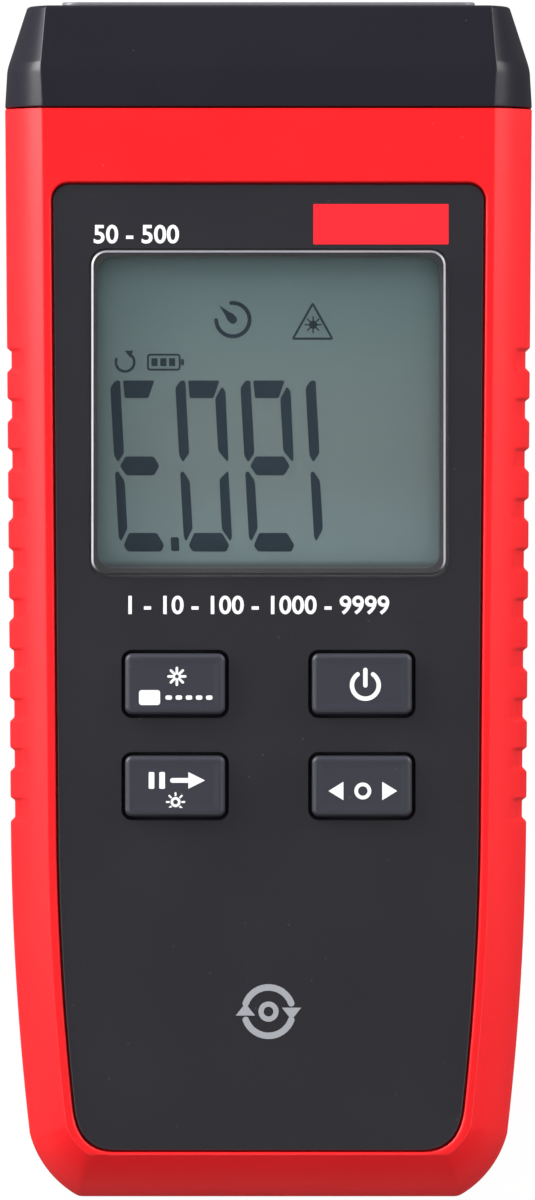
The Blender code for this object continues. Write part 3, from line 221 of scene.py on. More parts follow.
def install(
    made: Piece,
    finish: Material,
    body: str = "case",
    nodes: Sequence[str] = (),
    sharp: float = 30.0,
) -> Piece:
    """Shades a piece and gives it its material and body, and hides the nodes it stands for.

    Args:
        made: the piece, at the origin.
        finish: its material.
        body: the body it rides on.
        nodes: the frame nodes that it replaces.
        sharp: angle in degrees from which its edges are sharp.

    Returns:
        The same object.
    """
    if not any(made.data.materials):
        made.data.materials.clear()
        made.data.materials.append(finish)
    shade(made, sharp)
    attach(made, body)
    if nodes:
        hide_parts(*nodes)
    LOG.info("%s rides on %s, %d faces", made.name, body, len(made.data.polygons))
    return made


def loft(rings: Sequence[Sequence[Vector]], shape: Shape | None = None) -> Shape:
    """A closed solid through rings with the same number of points.

    Args:
        rings: the rings in order.
        shape: a bmesh to add the solid to.

    Returns:
        The bmesh.
    """
    shape = shape or bmesh.new()
    rows = [[shape.verts.new(point) for point in ring] for ring in rings]
    count = len(rows[0])
    for lower, upper in zip(rows, rows[1:]):
        for i in range(count):
            j = (i + 1) % count
            shape.faces.new((lower[i], lower[j], upper[j], upper[i]))
    shape.faces.new(list(reversed(rows[0])))
    shape.faces.new(rows[-1])
    return shape


def flat_ring(points: Sequence[Point], z: float) -> list[Vector]:
    """Plan points lifted to a height."""
    return [Vector((x, y, z)) for x, y in points]


def prism(name: str, points: Sequence[Point], z: Point) -> Piece:
    """A plan outline extruded between the two heights z."""
    return solid(name, loft([flat_ring(points, z[0]), flat_ring(points, z[1])]))


def block(name: str, x: Point, y: Point, z: Point) -> Piece:
    """A box between pairs of limits, for use as a cutter or a part of a moulding."""
    return prism(name, [(x[0], y[0]), (x[1], y[0]), (x[1], y[1]), (x[0], y[1])], z)


def circle(radius: float, centre: Point = (0.0, 0.0), steps: int = 40) -> list[Point]:
    """Points of a circle in plan."""
    turns = [2 * math.pi * i / steps for i in range(steps)]
    return [(centre[0] + radius * math.cos(a), centre[1] + radius * math.sin(a)) for a in turns]


def metres(points: Sequence[Point]) -> list[Point]:
    """Points that are given in millimetres."""
    return [(x * MM, y * MM) for x, y in points]


def middle_of(node: str) -> Vector:
    """Middle of a frame node's box."""
    low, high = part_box(node)
    return (low + high) / 2


def grown(size: Point, extra: float) -> Point:
    """A width and height with this much more on every side."""
    return (size[0] + 2 * extra, size[1] + 2 * extra)


def rounded(size: Point, radius: float, centre: Point = (0.0, 0.0), steps: int = 8) -> list[Point]:
    """Outline of a rectangle with round corners.

    Args:
        size: width and height.
        radius: corner radius.
        centre: middle of the rectangle.
        steps: steps in each corner.

    Returns:
        The points, anticlockwise.
    """
    points = []
    for corner, (sx, sy) in enumerate(((1, 1), (-1, 1), (-1, -1), (1, -1))):
        cx = centre[0] + sx * (size[0] / 2 - radius)
        cy = centre[1] + sy * (size[1] / 2 - radius)
        for step in range(steps + 1):
            angle = math.pi / 2 * (corner + step / steps)
            points.append((cx + radius * math.cos(angle), cy + radius * math.sin(angle)))
    return points


def quarter(radius: float, steps: int) -> list[Point]:
    """Steps round an edge from upright to flat, each as (drop from the top, distance in)."""
    turns = [math.pi / 2 * i / steps for i in range(steps + 1)]
    return [(radius * (1 - math.sin(a)), radius * (1 - math.cos(a))) for a in turns]


def tablet(
    name: str, size: Point, radius: float, centre: Point, rows: Sequence[Point], steps: int = 8
) -> Piece:
    """A round-cornered solid through rows of height and distance in.

    Args:
        name: name of the object.
        size: width and height of the widest row.
        radius: radius of its corners.
        centre: middle of the rectangle.
        rows: height and inset of each row.
        steps: steps in each corner.

    Returns:
        The solid.
    """
    rings = []
    for z, inset in rows:
        outline = rounded(grown(size, -inset), max(radius - inset, LEAST_ROUND), centre, steps)
        rings.append(flat_ring(outline, z))
    return solid(name, loft(rings))


def turned(name: str, profile: Sequence[Point], centre: Vector, along: Vector, steps: int = 40) -> Piece:
    """A solid turned about a line from (radius, distance) points that start and end on it.

    Args:
        name: name of the object.
        profile: radius and distance along the line of each point.
        centre: where distance 0 is.
        along: direction of the line.
        steps: sides of the turned form.

    Returns:
        The object.
    """
    shape = bmesh.new()
    turn = Vector((0, 0, 1)).rotation_difference(along)
    rows = []
    for radius, distance in profile:
        ring = [(0.0, 0.0)] if radius == 0 else circle(radius, steps=steps)
        rows.append([shape.verts.new(centre + turn @ Vector((x, y, distance))) for x, y in ring])
    for lower, upper in zip(rows, rows[1:]):
        for i in range(steps):
            j = (i + 1) % steps
            corners = [
                lower[i % len(lower)],
                lower[j % len(lower)],
                upper[j % len(upper)],
                upper[i % len(upper)],
            ]
            shape.faces.new(list(dict.fromkeys(corners)))
    bmesh.ops.remove_doubles(shape, verts=shape.verts, dist=0.0001 * MM)
    return solid(name, shape)


@dataclass(frozen=True)
class Level:
    """One height of a rolled edge.

    It says how far in it is, how a groove moves it for each unit of depth and how far it rises at the foot.
    """

    inset: float
    z: float
    groove_in: float = 0.0
    groove_down: float = 0.0
    foot_rise: float = 0.0


@dataclass(frozen=True)
class RolledEdge:
    """The long edge of one case half, an arc that leaves the wall upright and meets the flat face."""

    sign: int
    face_z: float
    inset: float
    drop: float
    foot_share: float = 0.0
    fade_from: float = math.radians(24)
    fade_to: float = math.radians(36)
    steps: int = 16

    @property
    def radius(self) -> float:
        """Radius of the arc."""
        return (self.inset**2 + self.drop**2) / (2 * self.inset)

    @property
    def wall_z(self) -> float:
        """Height where the upright wall ends and the arc starts."""
        return self.face_z - self.sign * self.drop

    def levels(self, depth: float, start_z: float, face_z: float, crease: float = 0.0) -> list[Level]:
        """Levels from the start height to a flat face, this depth under the skin.

        Args:
            depth: distance under the skin.
            start_z: height where the wall starts.
            face_z: height of the flat face.
            crease: radius of the rounding between arc and face, or 0.

        Returns:
            The levels in order.
        """
        arc = self.radius - depth
        rise = abs(face_z - self.wall_z) - crease
        reach = math.sqrt((arc - crease) ** 2 - rise**2)
        end = math.atan2(rise, reach)
        rows = [Level(depth, start_z, 1.0, 0.0)]
        for step in range(self.steps + 1):
            angle = end * step / self.steps
            fade = min(1.0, max(0.0, (self.fade_to - angle) / (self.fade_to - self.fade_from)))
            inset = self.radius - arc * math.cos(angle)
            z = self.wall_z + self.sign * arc * math.sin(angle)
            slip = smooth(fade)
            groove = (slip * math.cos(angle), self.sign * slip * math.sin(angle))
            rows.append(Level(inset, z, *groove, self.foot_share * (inset - depth)))
        crease_steps = 5 if crease else 0
        for step in range(1, crease_steps + 1):
            angle = mix(end, math.pi / 2, step / crease_steps)
            inset = self.radius - reach - crease * math.cos(angle)
            z = self.wall_z + self.sign * (rise + crease * math.sin(angle))
            rows.append(Level(inset, z, foot_rise=self.foot_share * (inset - depth)))
        return rows


@dataclass(frozen=True)
class CaseForm:
    """Plan outline of the case, with its taper, cut corners and grip grooves."""

    half: float
    bottom: float
    seam: float
    depth: float
    side_taper: float = 0.65 * MM
    foot_taper: float = 2.15 * MM
    taper_height: float = 42.0 * MM
    corner_height: float = 7.2 * MM
    corner_cut: float = 5.6 * MM
    corner_bulge: float = 0.95 * MM
    foot_round: float = 1.8 * MM
    least_round: float = 1.5 * MM
    panel_foot: float = 4.2 * MM
    foot_reach: float = 12.0 * MM
    grip_count: int = 10
    grip_pitch: float = 5.68 * MM
    grip_rise: float = 2.1 * MM
    grip_depth: float = 0.5 * MM
    grip_steep: float = 0.55 * MM
    grip_floor: float = 1.7 * MM
    grip_soft: float = 0.7 * MM
    taper_steps: int = 14
    arc_steps: int = 14
    foot_steps: int = 6

    @classmethod
    def from_frame(cls) -> CaseForm:
        """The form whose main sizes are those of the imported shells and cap."""
        low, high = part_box("front_shell")
        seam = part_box("end_cap")[0].y - PARTING - SEAM_DROP
        return cls(half=high.x, bottom=low.y, seam=seam, depth=high.z)

    @property
    def taper_y(self) -> float:
        """Height where the straight flank ends."""
        return self.bottom + self.taper_height

    @property
    def seam_z(self) -> float:
        """Height of the joint between the two halves."""
        return self.depth / 2

    @property
    def slope(self) -> float:
        """Lean of the straight flank."""
        return self.side_taper / (self.seam - self.taper_y)

    def flank(self, y: float) -> float:
        """Half width at y on the straight flank."""
        return self.half - self.slope * (self.seam - y)

    def grips(self) -> list[Point]:
        """Heights down the flank, each with its share of a groove's depth."""
        stations = []
        width = self.grip_steep + self.grip_floor + self.grip_soft
        for i in reversed(range(self.grip_count)):
            top = self.taper_y + self.grip_rise + i * self.grip_pitch + width / 2
            for step in range(6):
                stations.append((top - self.grip_steep * step / 5, smooth(step / 5)))
            low = top - self.grip_steep - self.grip_floor
            for step in range(7):
                stations.append((low - self.grip_soft * step / 6, 1 - smooth(step / 6)))
        return stations

    def corner(self, inset: float) -> list[Point]:
        """Points of the cut corner and the round foot below it, set in from the skin.

        Args:
            inset: distance under the skin.

        Returns:
            The points from the flank down to the bottom end.
        """
        foot = Vector((self.half - self.side_taper - self.foot_taper, self.bottom + self.corner_height))
        end = Vector((foot.x - self.corner_cut, self.bottom))
        chord = end - foot
        radius = (chord.length**2 / 4 + self.corner_bulge**2) / (2 * self.corner_bulge)
        outward = Vector((-chord.y, chord.x)).normalized()
        centre = (foot + end) / 2 - outward * (radius - self.corner_bulge)
        lean = self.lean_at(self.taper_y - foot.y)
        line = foot + Vector((-1, lean)).normalized() * inset - centre
        down = Vector((-lean, -1)).normalized()
        along = line.dot(down)
        arc = radius - inset
        start = line + down * (math.sqrt(along**2 - line.length_squared + arc**2) - along)
        foot_round = max(self.foot_round - inset, self.least_round)
        reach = arc - foot_round
        drop = self.bottom + inset + foot_round - centre.y
        across = math.sqrt(reach**2 - drop**2)
        first = math.atan2(start.y, start.x)
        last = math.atan2(drop, across)
        points = []
        for step in range(self.arc_steps + 1):
            angle = mix(first, last, step / self.arc_steps)
            points.append((centre.x + arc * math.cos(angle), centre.y + arc * math.sin(angle)))
        for step in range(1, self.foot_steps + 1):
            angle = mix(last, -math.pi / 2, step / self.foot_steps)
            x = centre.x + across + foot_round * math.cos(angle)
            points.append((x, centre.y + drop + foot_round * math.sin(angle)))
        return points

    def lean_at(self, drop: float) -> float:
        """Lean of the outline this far below the straight flank."""
        reach = self.taper_height - self.corner_height
        return self.slope + 2 * drop * (self.foot_taper - self.slope * reach) / reach**2

    def side(self, top: float, inset: float, grips: bool = False) -> list[Place]:
        """Right side of the outline, set in from the skin, from the top down.

        Args:
            top: height of its upper end.
            inset: distance under the skin.
            grips: whether it has the grip grooves' points.

        Returns:
            Points as (x, y, share of a groove's depth).
        """
        points = [(self.flank(top) - inset, top, 0.0)]
        if grips:
            points += [(self.flank(y) - inset, y, share) for y, share in self.grips()]
        reach = self.taper_height - self.corner_height
        for step in range(self.taper_steps):
            drop = reach * step / self.taper_steps
            lean = self.lean_at(drop)
            run = math.hypot(1, lean)
            x = self.flank(self.taper_y) - (self.slope + lean) / 2 * drop
            points.append((x - inset / run, self.taper_y - drop + inset * lean / run, 0.0))
        return points + [(x, y, 0.0) for x, y in self.corner(inset)]

    def ring(self, level: Level, top: float, grips: bool = False) -> list[Vector]:
        """One closed ring of the case's surface at a level of its rolled edge."""
        half = []
        for x, y, share in self.side(top, level.inset, grips):
            groove = share * self.grip_depth
            rise = level.foot_rise * smooth(max(0.0, 1 - (y - self.bottom) / self.foot_reach))
            z = level.z - groove * level.groove_down
            half.append(Vector((x - groove * level.groove_in, y + rise, z)))
        return half + [Vector((-p.x, p.y, p.z)) for p in reversed(half)]

    def outline(self, top: float, inset: float, radius: float) -> list[Point]:
        """Plan outline of the face panel, with round corners.

        Args:
            top: height of its upper edge.
            inset: distance under the skin.
            radius: radius of the upper corners.

        Returns:
            The points, clockwise from the top right.
        """
        foot_y = self.bottom + inset
        points = [p for p in self.side(top, inset) if p[1] > foot_y + self.panel_foot]
        last = Vector(points[-1][:2])
        along = last - Vector(points[-2][:2])
        bend = last + along * ((foot_y - last.y) / along.y)
        end = Vector((bend.x - self.panel_foot, foot_y))
        for step in range(1, 11):
            share = step / 10
            place = last.lerp(bend, share).lerp(bend.lerp(end, share), share)
            points.append((place.x, place.y, 0.0))
        corner_x = points[0][0] - radius
        side = []
        for step in range(9):
            angle = math.pi / 2 * (1 - step / 8)
            side.append((corner_x + radius * math.cos(angle), top - radius + radius * math.sin(angle)))
        side += [(x, y) for x, y, share in points[1:]]
        return side + [(-x, y) for x, y in reversed(side)]


@dataclass(frozen=True)
class KeyGrid:
    """Places and size of the four keys."""

    spread: float = 10.6 * MM
    row: float = -9.6 * MM
    pitch: float = 11.6 * MM
    width: float = 11.6 * MM
    height: float = 7.15 * MM
    radius: float = 0.9 * MM

    def centres(self) -> dict[str, Point]:
        """Centre of each key by name."""
        return {
            "power": (self.spread, self.row),
            "laser": (-self.spread, self.row),
            "mode": (self.spread, self.row - self.pitch),
            "hold": (-self.spread, self.row - self.pitch),
        }

    def hole(self, name: str, centre: Point, z: Point) -> Piece:
        """Cutter for the hole that a key slides in."""
        size = grown((self.width, self.height), GAP)
        return prism(name, rounded(size, self.radius + GAP, centre), z)

    def holes(self, z: Point) -> list[Piece]:
        """Cutters for all four holes between two heights."""
        return [self.hole(name, centre, z) for name, centre in self.centres().items()]


@dataclass
class Housing:
    """The two red shells, the battery door, the charcoal cap and its smoked window."""

    form: CaseForm
    keys: KeyGrid
    display_y: float
    front: RolledEdge = field(init=False)
    back: RolledEdge = field(init=False)
    front_roll: tuple[float, float, float] = (4.3 * MM, 8.4 * MM, 0.22)
    back_roll: Point = (3.0 * MM, 4.8 * MM)
    wall: float = 2.0 * MM
    crease: float = 0.35 * MM
    ceiling_z: float = 24.0 * MM
    pocket_z: float = 25.4 * MM
    neck_depth: float = 2.15 * MM
    neck_wall: float = 1.5 * MM
    neck_root: float = 2.65 * MM
    neck_length: float = 4.3 * MM
    post_x: float = 21.5 * MM
    mid_post_y: float = -7.0 * MM
    upper_post_y: float = 49.5 * MM
    boss_radius: float = 2.8 * MM
    post_radius: float = 3.8 * MM
    screw_radius: float = 1.1 * MM
    screw_head: float = 2.2 * MM
    screw_sink: float = 6.9 * MM
    screw_grip: float = 7.0 * MM
    upper_stand: Point = (12.0 * MM, 46.7 * MM)
    lower_stand: Point = (0.0, -8.6 * MM)
    stand_radius: float = 2.1 * MM
    stand_foot: float = 17.2 * MM
    pilot_radius: float = 1.15 * MM
    pilot_z: Point = (16.9 * MM, 21.9 * MM)
    panel_inset: float = 5.45 * MM
    panel_edge: float = 0.2 * MM
    panel_brow: float = 8.65 * MM
    panel_radius: float = 1.8 * MM
    pocket_round: float = 0.4 * MM
    film_inset: float = 0.3 * MM
    film_gap: float = 0.02 * MM
    film_foot: float = 0.05 * MM
    film_lip: float = 0.7 * MM
    film_lining: float = 0.08 * MM
    aperture_lip: float = 0.6 * MM
    lens_size: Point = (40.2 * MM, 36.8 * MM)
    lens_radius: float = 1.7 * MM
    bay_half: float = 18.2 * MM
    bay_wall: float = 1.2 * MM
    bay_y: Point = (-64.5 * MM, -12.3 * MM)
    roof_z: Point = (13.3 * MM, 14.5 * MM)
    cell_z: float = 7.75 * MM
    cell_spacing: float = 11.1 * MM
    rib_half: float = 0.6 * MM
    rib_margin: float = 9.0 * MM
    rib_height: float = 2.2 * MM
    rest_half: float = 1.5 * MM
    rest_x: Point = (-15.0 * MM, 15.0 * MM)
    rest_y: Point = (-32.7 * MM, -29.7 * MM)
    rest_z: Point = (13.9 * MM, 15.0 * MM)
    door_half: float = 16.7 * MM
    door_flange: float = 1.2 * MM
    door_ledge: float = 0.85 * MM
    door_end_z: float = 11.0 * MM
    door_recess: float = 0.15 * MM
    door_grooves: int = 7
    door_groove_pitch: float = 2.0 * MM
    door_groove_size: Point = (17.0 * MM, 1.1 * MM)
    door_groove_depth: float = 0.6 * MM
    door_groove_margin: float = 5.0 * MM
    door_groove_round: float = 0.5 * MM
    door_groove_corner: float = 0.54 * MM
    cap_wall: float = 1.6 * MM
    cap_end: float = 2.55 * MM
    cap_shoulder: float = 4.6 * MM
    cap_narrowing: float = 0.25 * MM
    cap_tip_narrowing: float = 2.55 * MM
    cap_tip_squash: float = 0.95
    cap_tip_edge: float = 0.5
    cap_shoulder_edge: float = 0.9
    cap_blend: float = 0.12
    cap_round: float = 0.3 * MM
    cap_foot_round: float = 0.15 * MM
    cap_step: float = 0.3 * MM
    window_size: Point = (47.0 * MM, 14.0 * MM)
    window_radius: float = 2.0 * MM
    window_thickness: float = 1.45 * MM
    window_edge: float = 0.2 * MM
    sight_x: float = 9.0 * MM
    sight_radii: Point = (3.0 * MM, 6.0 * MM)

    def __post_init__(self) -> None:
        """Sets the rolled edges from the case's depth."""
        self.front = RolledEdge(1, self.form.depth, *self.front_roll)
        self.back = RolledEdge(-1, 0.0, *self.back_roll)

    def half(
        self,
        name: str,
        edge: RolledEdge,
        depth: float,
        z: Point,
        top: float,
        grips: bool = False,
        crease: float = 0.0,
    ) -> Piece:
        """A solid half of the case between two heights, this depth under the skin."""
        levels = edge.levels(depth, z[0], z[1], crease)
        return solid(name, loft([self.form.ring(level, top, grips) for level in levels]))

    def posts(self) -> list[Point]:
        """Centres of the four case screws."""
        heights = (self.mid_post_y, self.upper_post_y)
        return [(side * self.post_x, y) for side in (-1, 1) for y in heights]

    def standoffs(self) -> list[Point]:
        """Centres of the board's three standoffs."""
        x, y = self.upper_stand
        return [(-x, y), (x, y), self.lower_stand]

    def panel_outline(self, extra: float = 0.0) -> list[Point]:
        """Outline of the face panel, or of its pocket when made larger by extra."""
        top = self.form.seam - self.panel_brow + extra
        return self.form.outline(top, self.panel_inset - extra, self.panel_radius + extra)

    def passage(self, edge: RolledEdge, low: float) -> Piece:
        """Cutter for the way through the neck of one half, from the main hollow to its open end."""
        depth = self.neck_depth + self.neck_wall
        far = self.form.depth - depth if edge.sign > 0 else depth
        passage = self.half("passage", edge, depth, (low, far), self.form.seam + self.neck_length + OVERRUN)
        stop = self.form.seam - self.neck_root - OVERRUN
        wide = (-2 * self.form.half, 2 * self.form.half)
        tall = (-self.form.depth, 2 * self.form.depth)
        end = block("passage_end", wide, (self.form.bottom - OVERRUN, stop), tall)
        return combine(passage, Operation.CUT, [end])

    def neck(self, edge: RolledEdge, seam: float) -> Piece:
        """The stepped-in collar of one half, which the cap fits over."""
        far = self.form.depth - self.neck_depth if edge.sign > 0 else self.neck_depth
        return self.half("neck", edge, self.neck_depth, (seam, far), self.form.seam + self.neck_length)

    def make_front(self) -> Piece:
        """The front shell, with panel pocket, openings, screw bosses and standoffs.

        Returns:
            The finished solid.
        """
        form = self.form
        seam = form.seam_z + PARTING / 2
        low = seam - OVERRUN
        limits = (seam, form.depth)
        shell = self.half("front_shell_skin", self.front, 0.0, limits, form.seam, True, self.crease)
        combine(shell, Operation.JOIN, [self.neck(self.front, seam)])
        core = self.half("core", self.front, self.wall, (low, self.ceiling_z), form.seam - self.neck_root)
        bosses = [prism("boss", circle(self.boss_radius, p), (seam, form.depth)) for p in self.posts()]
        tall = (self.stand_foot, form.depth)
        stands = [prism("stand", circle(self.stand_radius, p, 24), tall) for p in self.standoffs()]
        combine(core, Operation.CUT, bosses + stands)
        pocket = []
        for rise, extra in ((0.0, 0.0), (-1.0, 0.0), (-0.45, 0.12), (-0.12, 0.45), (0.02, 1.0)):
            height = form.depth + rise * self.pocket_round if pocket else self.pocket_z
            pocket.append(flat_ring(self.panel_outline(PARTING + extra * self.pocket_round), height))
        pocket.append(flat_ring(self.panel_outline(PARTING + self.pocket_round), form.depth + OVERRUN))
        through = (self.ceiling_z - OVERRUN, self.pocket_z + OVERRUN)
        aperture = grown(self.lens_size, -self.aperture_lip)
        cutters = [core, self.passage(self.front, low), solid("pocket", loft(pocket))]
        cutters.append(prism("aperture", rounded(aperture, self.lens_radius, (0, self.display_y)), through))
        cutters += self.keys.holes(through)
        pilot = (low, seam + self.screw_grip + OVERRUN)
        cutters += [prism("pilot", circle(self.screw_radius + GAP, p, 24), pilot) for p in self.posts()]
        cutters += [prism("pilot", circle(self.pilot_radius, p, 24), self.pilot_z) for p in self.standoffs()]
        return combine(shell, Operation.CUT, cutters)

    def door_region(self, clearance: float, end_y: float) -> list[Piece]:
        """Boxes that the battery door fills, or its opening when given clearance.

        Args:
            clearance: how much larger the boxes are on every side.
            end_y: height of the inner face of the end wall.

        Returns:
            Plate, flange, end wall and end flange.
        """
        reach = self.form.bottom - OVERRUN
        top = self.bay_y[1] - GAP
        narrow = self.door_half + clearance
        wide = narrow + self.door_flange
        plate = self.wall + clearance
        ledge = self.door_ledge + GAP - clearance
        end_top = self.door_end_z + clearance
        narrow_y = (reach, top - self.door_flange + clearance)
        return [
            block("door_plate", (-narrow, narrow), narrow_y, (-OVERRUN, plate)),
            block("door_flange", (-wide, wide), (reach, top + clearance), (ledge, plate)),
            block("door_end", (-narrow, narrow), (reach, end_y), (-OVERRUN, end_top)),
            block("door_end_flange", (-wide, wide), (reach, end_y), (ledge, end_top)),
        ]

    def make_rear(self) -> Piece:
        """The rear shell, with battery bay, screw posts and the door's undercut ledges.

        Returns:
            The finished solid.
        """
        form = self.form
        seam = form.seam_z - PARTING / 2
        high = seam + OVERRUN / 2
        outer = self.bay_half + self.bay_wall
        bay_top = self.bay_y[1] + self.bay_wall
        shell = self.half("rear_shell_skin", self.back, 0.0, (seam, 0.0), form.seam, True, self.crease)
        roof_x = (PARTING - outer, outer - PARTING)
        roof_y = (form.bottom + self.wall + PARTING, bay_top - PARTING)
        roof = block("roof", roof_x, roof_y, (self.cell_z, self.roof_z[1]))
        rests = [block("board_rest", span(x, self.rest_half), self.rest_y, self.rest_z) for x in self.rest_x]
        combine(shell, Operation.JOIN, [self.neck(self.back, seam), roof] + rests)
        core = self.half("core", self.back, self.wall, (high, self.wall), form.seam - self.neck_root)
        tall = (-OVERRUN, form.depth)
        kept = [block("bay_block", (-outer, outer), (form.bottom - OVERRUN, bay_top), tall)]
        kept += [prism("post", circle(self.post_radius, p), tall) for p in self.posts()]
        combine(core, Operation.CUT, kept)
        bay_z = (self.wall - OVERRUN / 2, self.roof_z[0])
        bay = block("bay", (-self.bay_half, self.bay_half), self.bay_y, bay_z)
        along = (self.bay_y[0] + self.rib_margin, self.bay_y[1] - self.rib_margin)
        upright = (self.roof_z[0] - self.rib_height, form.depth)
        middles = (-self.cell_spacing / 2, self.cell_spacing / 2)
        ribs = [block("rib", span(x, self.rib_half), along, upright) for x in middles]
        combine(bay, Operation.CUT, ribs)
        cutters = [core, self.passage(self.back, high), bay]
        cutters += self.door_region(GAP, self.bay_y[0] - self.bay_wall)
        for p in self.posts():
            cutters.append(prism("sink", circle(self.screw_head + GAP, p, 32), (-OVERRUN, self.screw_sink)))
            cutters.append(prism("way", circle(self.screw_radius + GAP, p, 24), (0.0, form.depth)))
        return combine(shell, Operation.CUT, cutters)

    def make_door(self) -> Piece:
        """The sliding battery door: curved plate, end wall, flanges and thumb grooves.

        Returns:
            The finished solid.
        """
        recess = self.door_recess
        top = self.bay_y[1] + OVERRUN
        heights = (self.door_end_z + OVERRUN, recess)
        door = self.half("battery_door_cover", self.back, recess, heights, top, crease=self.crease)
        plate, *rest = self.door_region(0.0, self.form.bottom + self.wall)
        combine(door, Operation.KEEP, [combine(plate, Operation.JOIN, rest)])
        cutters = [self.half("hollow", self.back, self.wall, (self.form.depth, self.wall), top + OVERRUN)]
        first = self.bay_y[1] - self.door_flange - self.door_groove_margin
        deep = recess + self.door_groove_depth
        share = self.door_groove_depth / self.door_groove_round
        curve = [(deep - share * drop, inset) for drop, inset in quarter(self.door_groove_round, 6)]
        rows = [(-OVERRUN, 0.0), *curve[:-1]]
        for i in range(self.door_grooves):
            centre = (0.0, first - i * self.door_groove_pitch)
            cutters.append(tablet("groove", self.door_groove_size, self.door_groove_corner, centre, rows))
        return combine(door, Operation.CUT, cutters)

    def cap_ring(self, y: float, station: Sequence[float], depth: float, shrink: float = 0.0) -> list[Vector]:
        """One upright ring of the cap.

        Args:
            y: its height.
            station: half width, and shares of the edge's inset and of the case's depth.
            depth: distance under the skin.
            shrink: how far the whole ring is drawn in.

        Returns:
            The points.
        """
        half, edge_share, depth_share = station
        middle = self.form.seam_z
        arc_points = []
        for edge in (self.front, self.back):
            face_z = self.form.depth - depth if edge.sign > 0 else depth
            rows = edge.levels(depth, edge.wall_z, face_z, 0.0 if depth else self.crease)[1:]
            side = [(half - depth - shrink - edge_share * (row.inset - depth), row.z) for row in rows]
            arc_points += reversed(side) if edge.sign > 0 else side
        squash = depth_share * (1 - shrink / middle)
        ring = [Vector((x, y, middle + squash * (z - middle))) for x, z in arc_points]
        return ring + [Vector((-p.x, y, p.z)) for p in reversed(ring)]

    def cap_stations(self) -> tuple[list[float], list[float], list[float]]:
        """Height, half width and shares of the cap's open end, shoulder and tip."""
        form = self.form
        tip_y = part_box("end_cap")[1].y - self.cap_step
        low = [form.seam + PARTING, form.half, 1.0, 1.0]
        shoulder_y = form.seam + self.cap_shoulder
        shoulder = [shoulder_y, form.half - self.cap_narrowing, self.cap_shoulder_edge, 1.0]
        tip = [tip_y, form.half - self.cap_tip_narrowing, self.cap_tip_edge, self.cap_tip_squash]
        return low, shoulder, tip

    def make_cap(self) -> Piece:
        """The cap over the sensor end, with its window recess and two sight holes.

        Returns:
            The finished solid.
        """
        low, shoulder, tip = self.cap_stations()
        before = [mix(a, b, self.cap_blend) for a, b in zip(shoulder, low)]
        after = [mix(a, b, self.cap_blend) for a, b in zip(shoulder, tip)]
        rings = []
        for shrink, rise in quarter(self.cap_foot_round, 3):
            rings.append(self.cap_ring(low[0] + rise, low[1:], 0.0, shrink))
        for step in range(7):
            share = step / 6
            stations = zip(before, shoulder, after)
            bend = [mix(mix(a, b, share), mix(b, c, share), share) for a, b, c in stations]
            rings.append(self.cap_ring(bend[0], bend[1:], 0.0))
        for drop, shrink in quarter(self.cap_round, 5):
            y = tip[0] - drop
            share = (y - shoulder[0]) / (tip[0] - shoulder[0])
            place = [mix(a, b, share) for a, b in zip(shoulder, tip)]
            rings.append(self.cap_ring(y, place[1:], 0.0, shrink))
        cap = solid("end_cap_cover", loft(rings))
        share = (tip[0] - self.cap_end - shoulder[0]) / (tip[0] - shoulder[0])
        inner_end = [mix(a, b, share) for a, b in zip(shoulder, tip)]
        open_end = [low[0] - OVERRUN] + low[1:]
        stations = (open_end, shoulder, inner_end)
        inner = [self.cap_ring(place[0], place[1:], self.cap_wall) for place in stations]
        size = grown(self.window_size, PARTING)
        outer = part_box("sensor_window")[1].y
        sunk = (outer - self.window_thickness - GAP, outer + OVERRUN)
        recess = self.slab("recess", size, self.window_radius + PARTING, sunk, 0.0)
        cutters = [solid("cap_hollow", loft(inner)), recess]
        reach = self.cap_end + 2 * OVERRUN
        for x, radius in zip((-self.sight_x, self.sight_x), self.sight_radii):
            foot = Vector((x, tip[0] - self.cap_end - OVERRUN, self.form.seam_z))
            profile = [(0, 0), (radius, 0), (radius, reach), (0, reach)]
            cutters.append(turned("sight", profile, foot, Vector((0, 1, 0))))
        return combine(cap, Operation.CUT, cutters)

    def slab(self, name: str, size: Point, radius: float, y: Point, edge: float) -> Piece:
        """A round-cornered slab that stands across Y, its outer edge rounded by edge."""
        rings = []
        curve = quarter(edge, 4) if edge else [(0.0, 0.0)]
        for level, inset in [(y[0], 0.0)] + [(y[1] - drop, inset) for drop, inset in curve]:
            points = rounded(grown(size, -inset), radius - inset, (0, self.form.seam_z))
            rings.append([Vector((x, level, z)) for x, z in points])
        return solid(name, loft(rings))

    def make_window(self) -> Piece:
        """The smoked window over the laser and the receiver, with a polished edge."""
        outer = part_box("sensor_window")[1].y
        y = (outer - self.window_thickness, outer)
        return self.slab("sensor_window_pane", self.window_size, self.window_radius, y, self.window_edge)

    def make_panel(self) -> Piece:
        """The face panel with rounded edges and its openings for the display lens and the keys.

        Returns:
            The finished solid.
        """
        low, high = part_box("face_panel")
        rings = [flat_ring(self.panel_outline(), low.z)]
        for drop, inset in quarter(self.panel_edge, 4):
            rings.append(flat_ring(self.panel_outline(-inset), high.z - drop))
        panel = solid("face_panel_sheet", loft(rings))
        through = (low.z - OVERRUN, high.z + OVERRUN)
        opening = rounded(grown(self.lens_size, GAP), self.lens_radius + GAP, (0, self.display_y))
        cutters = [prism("opening", opening, through)]
        cutters += self.keys.holes(through)
        return combine(panel, Operation.CUT, cutters)

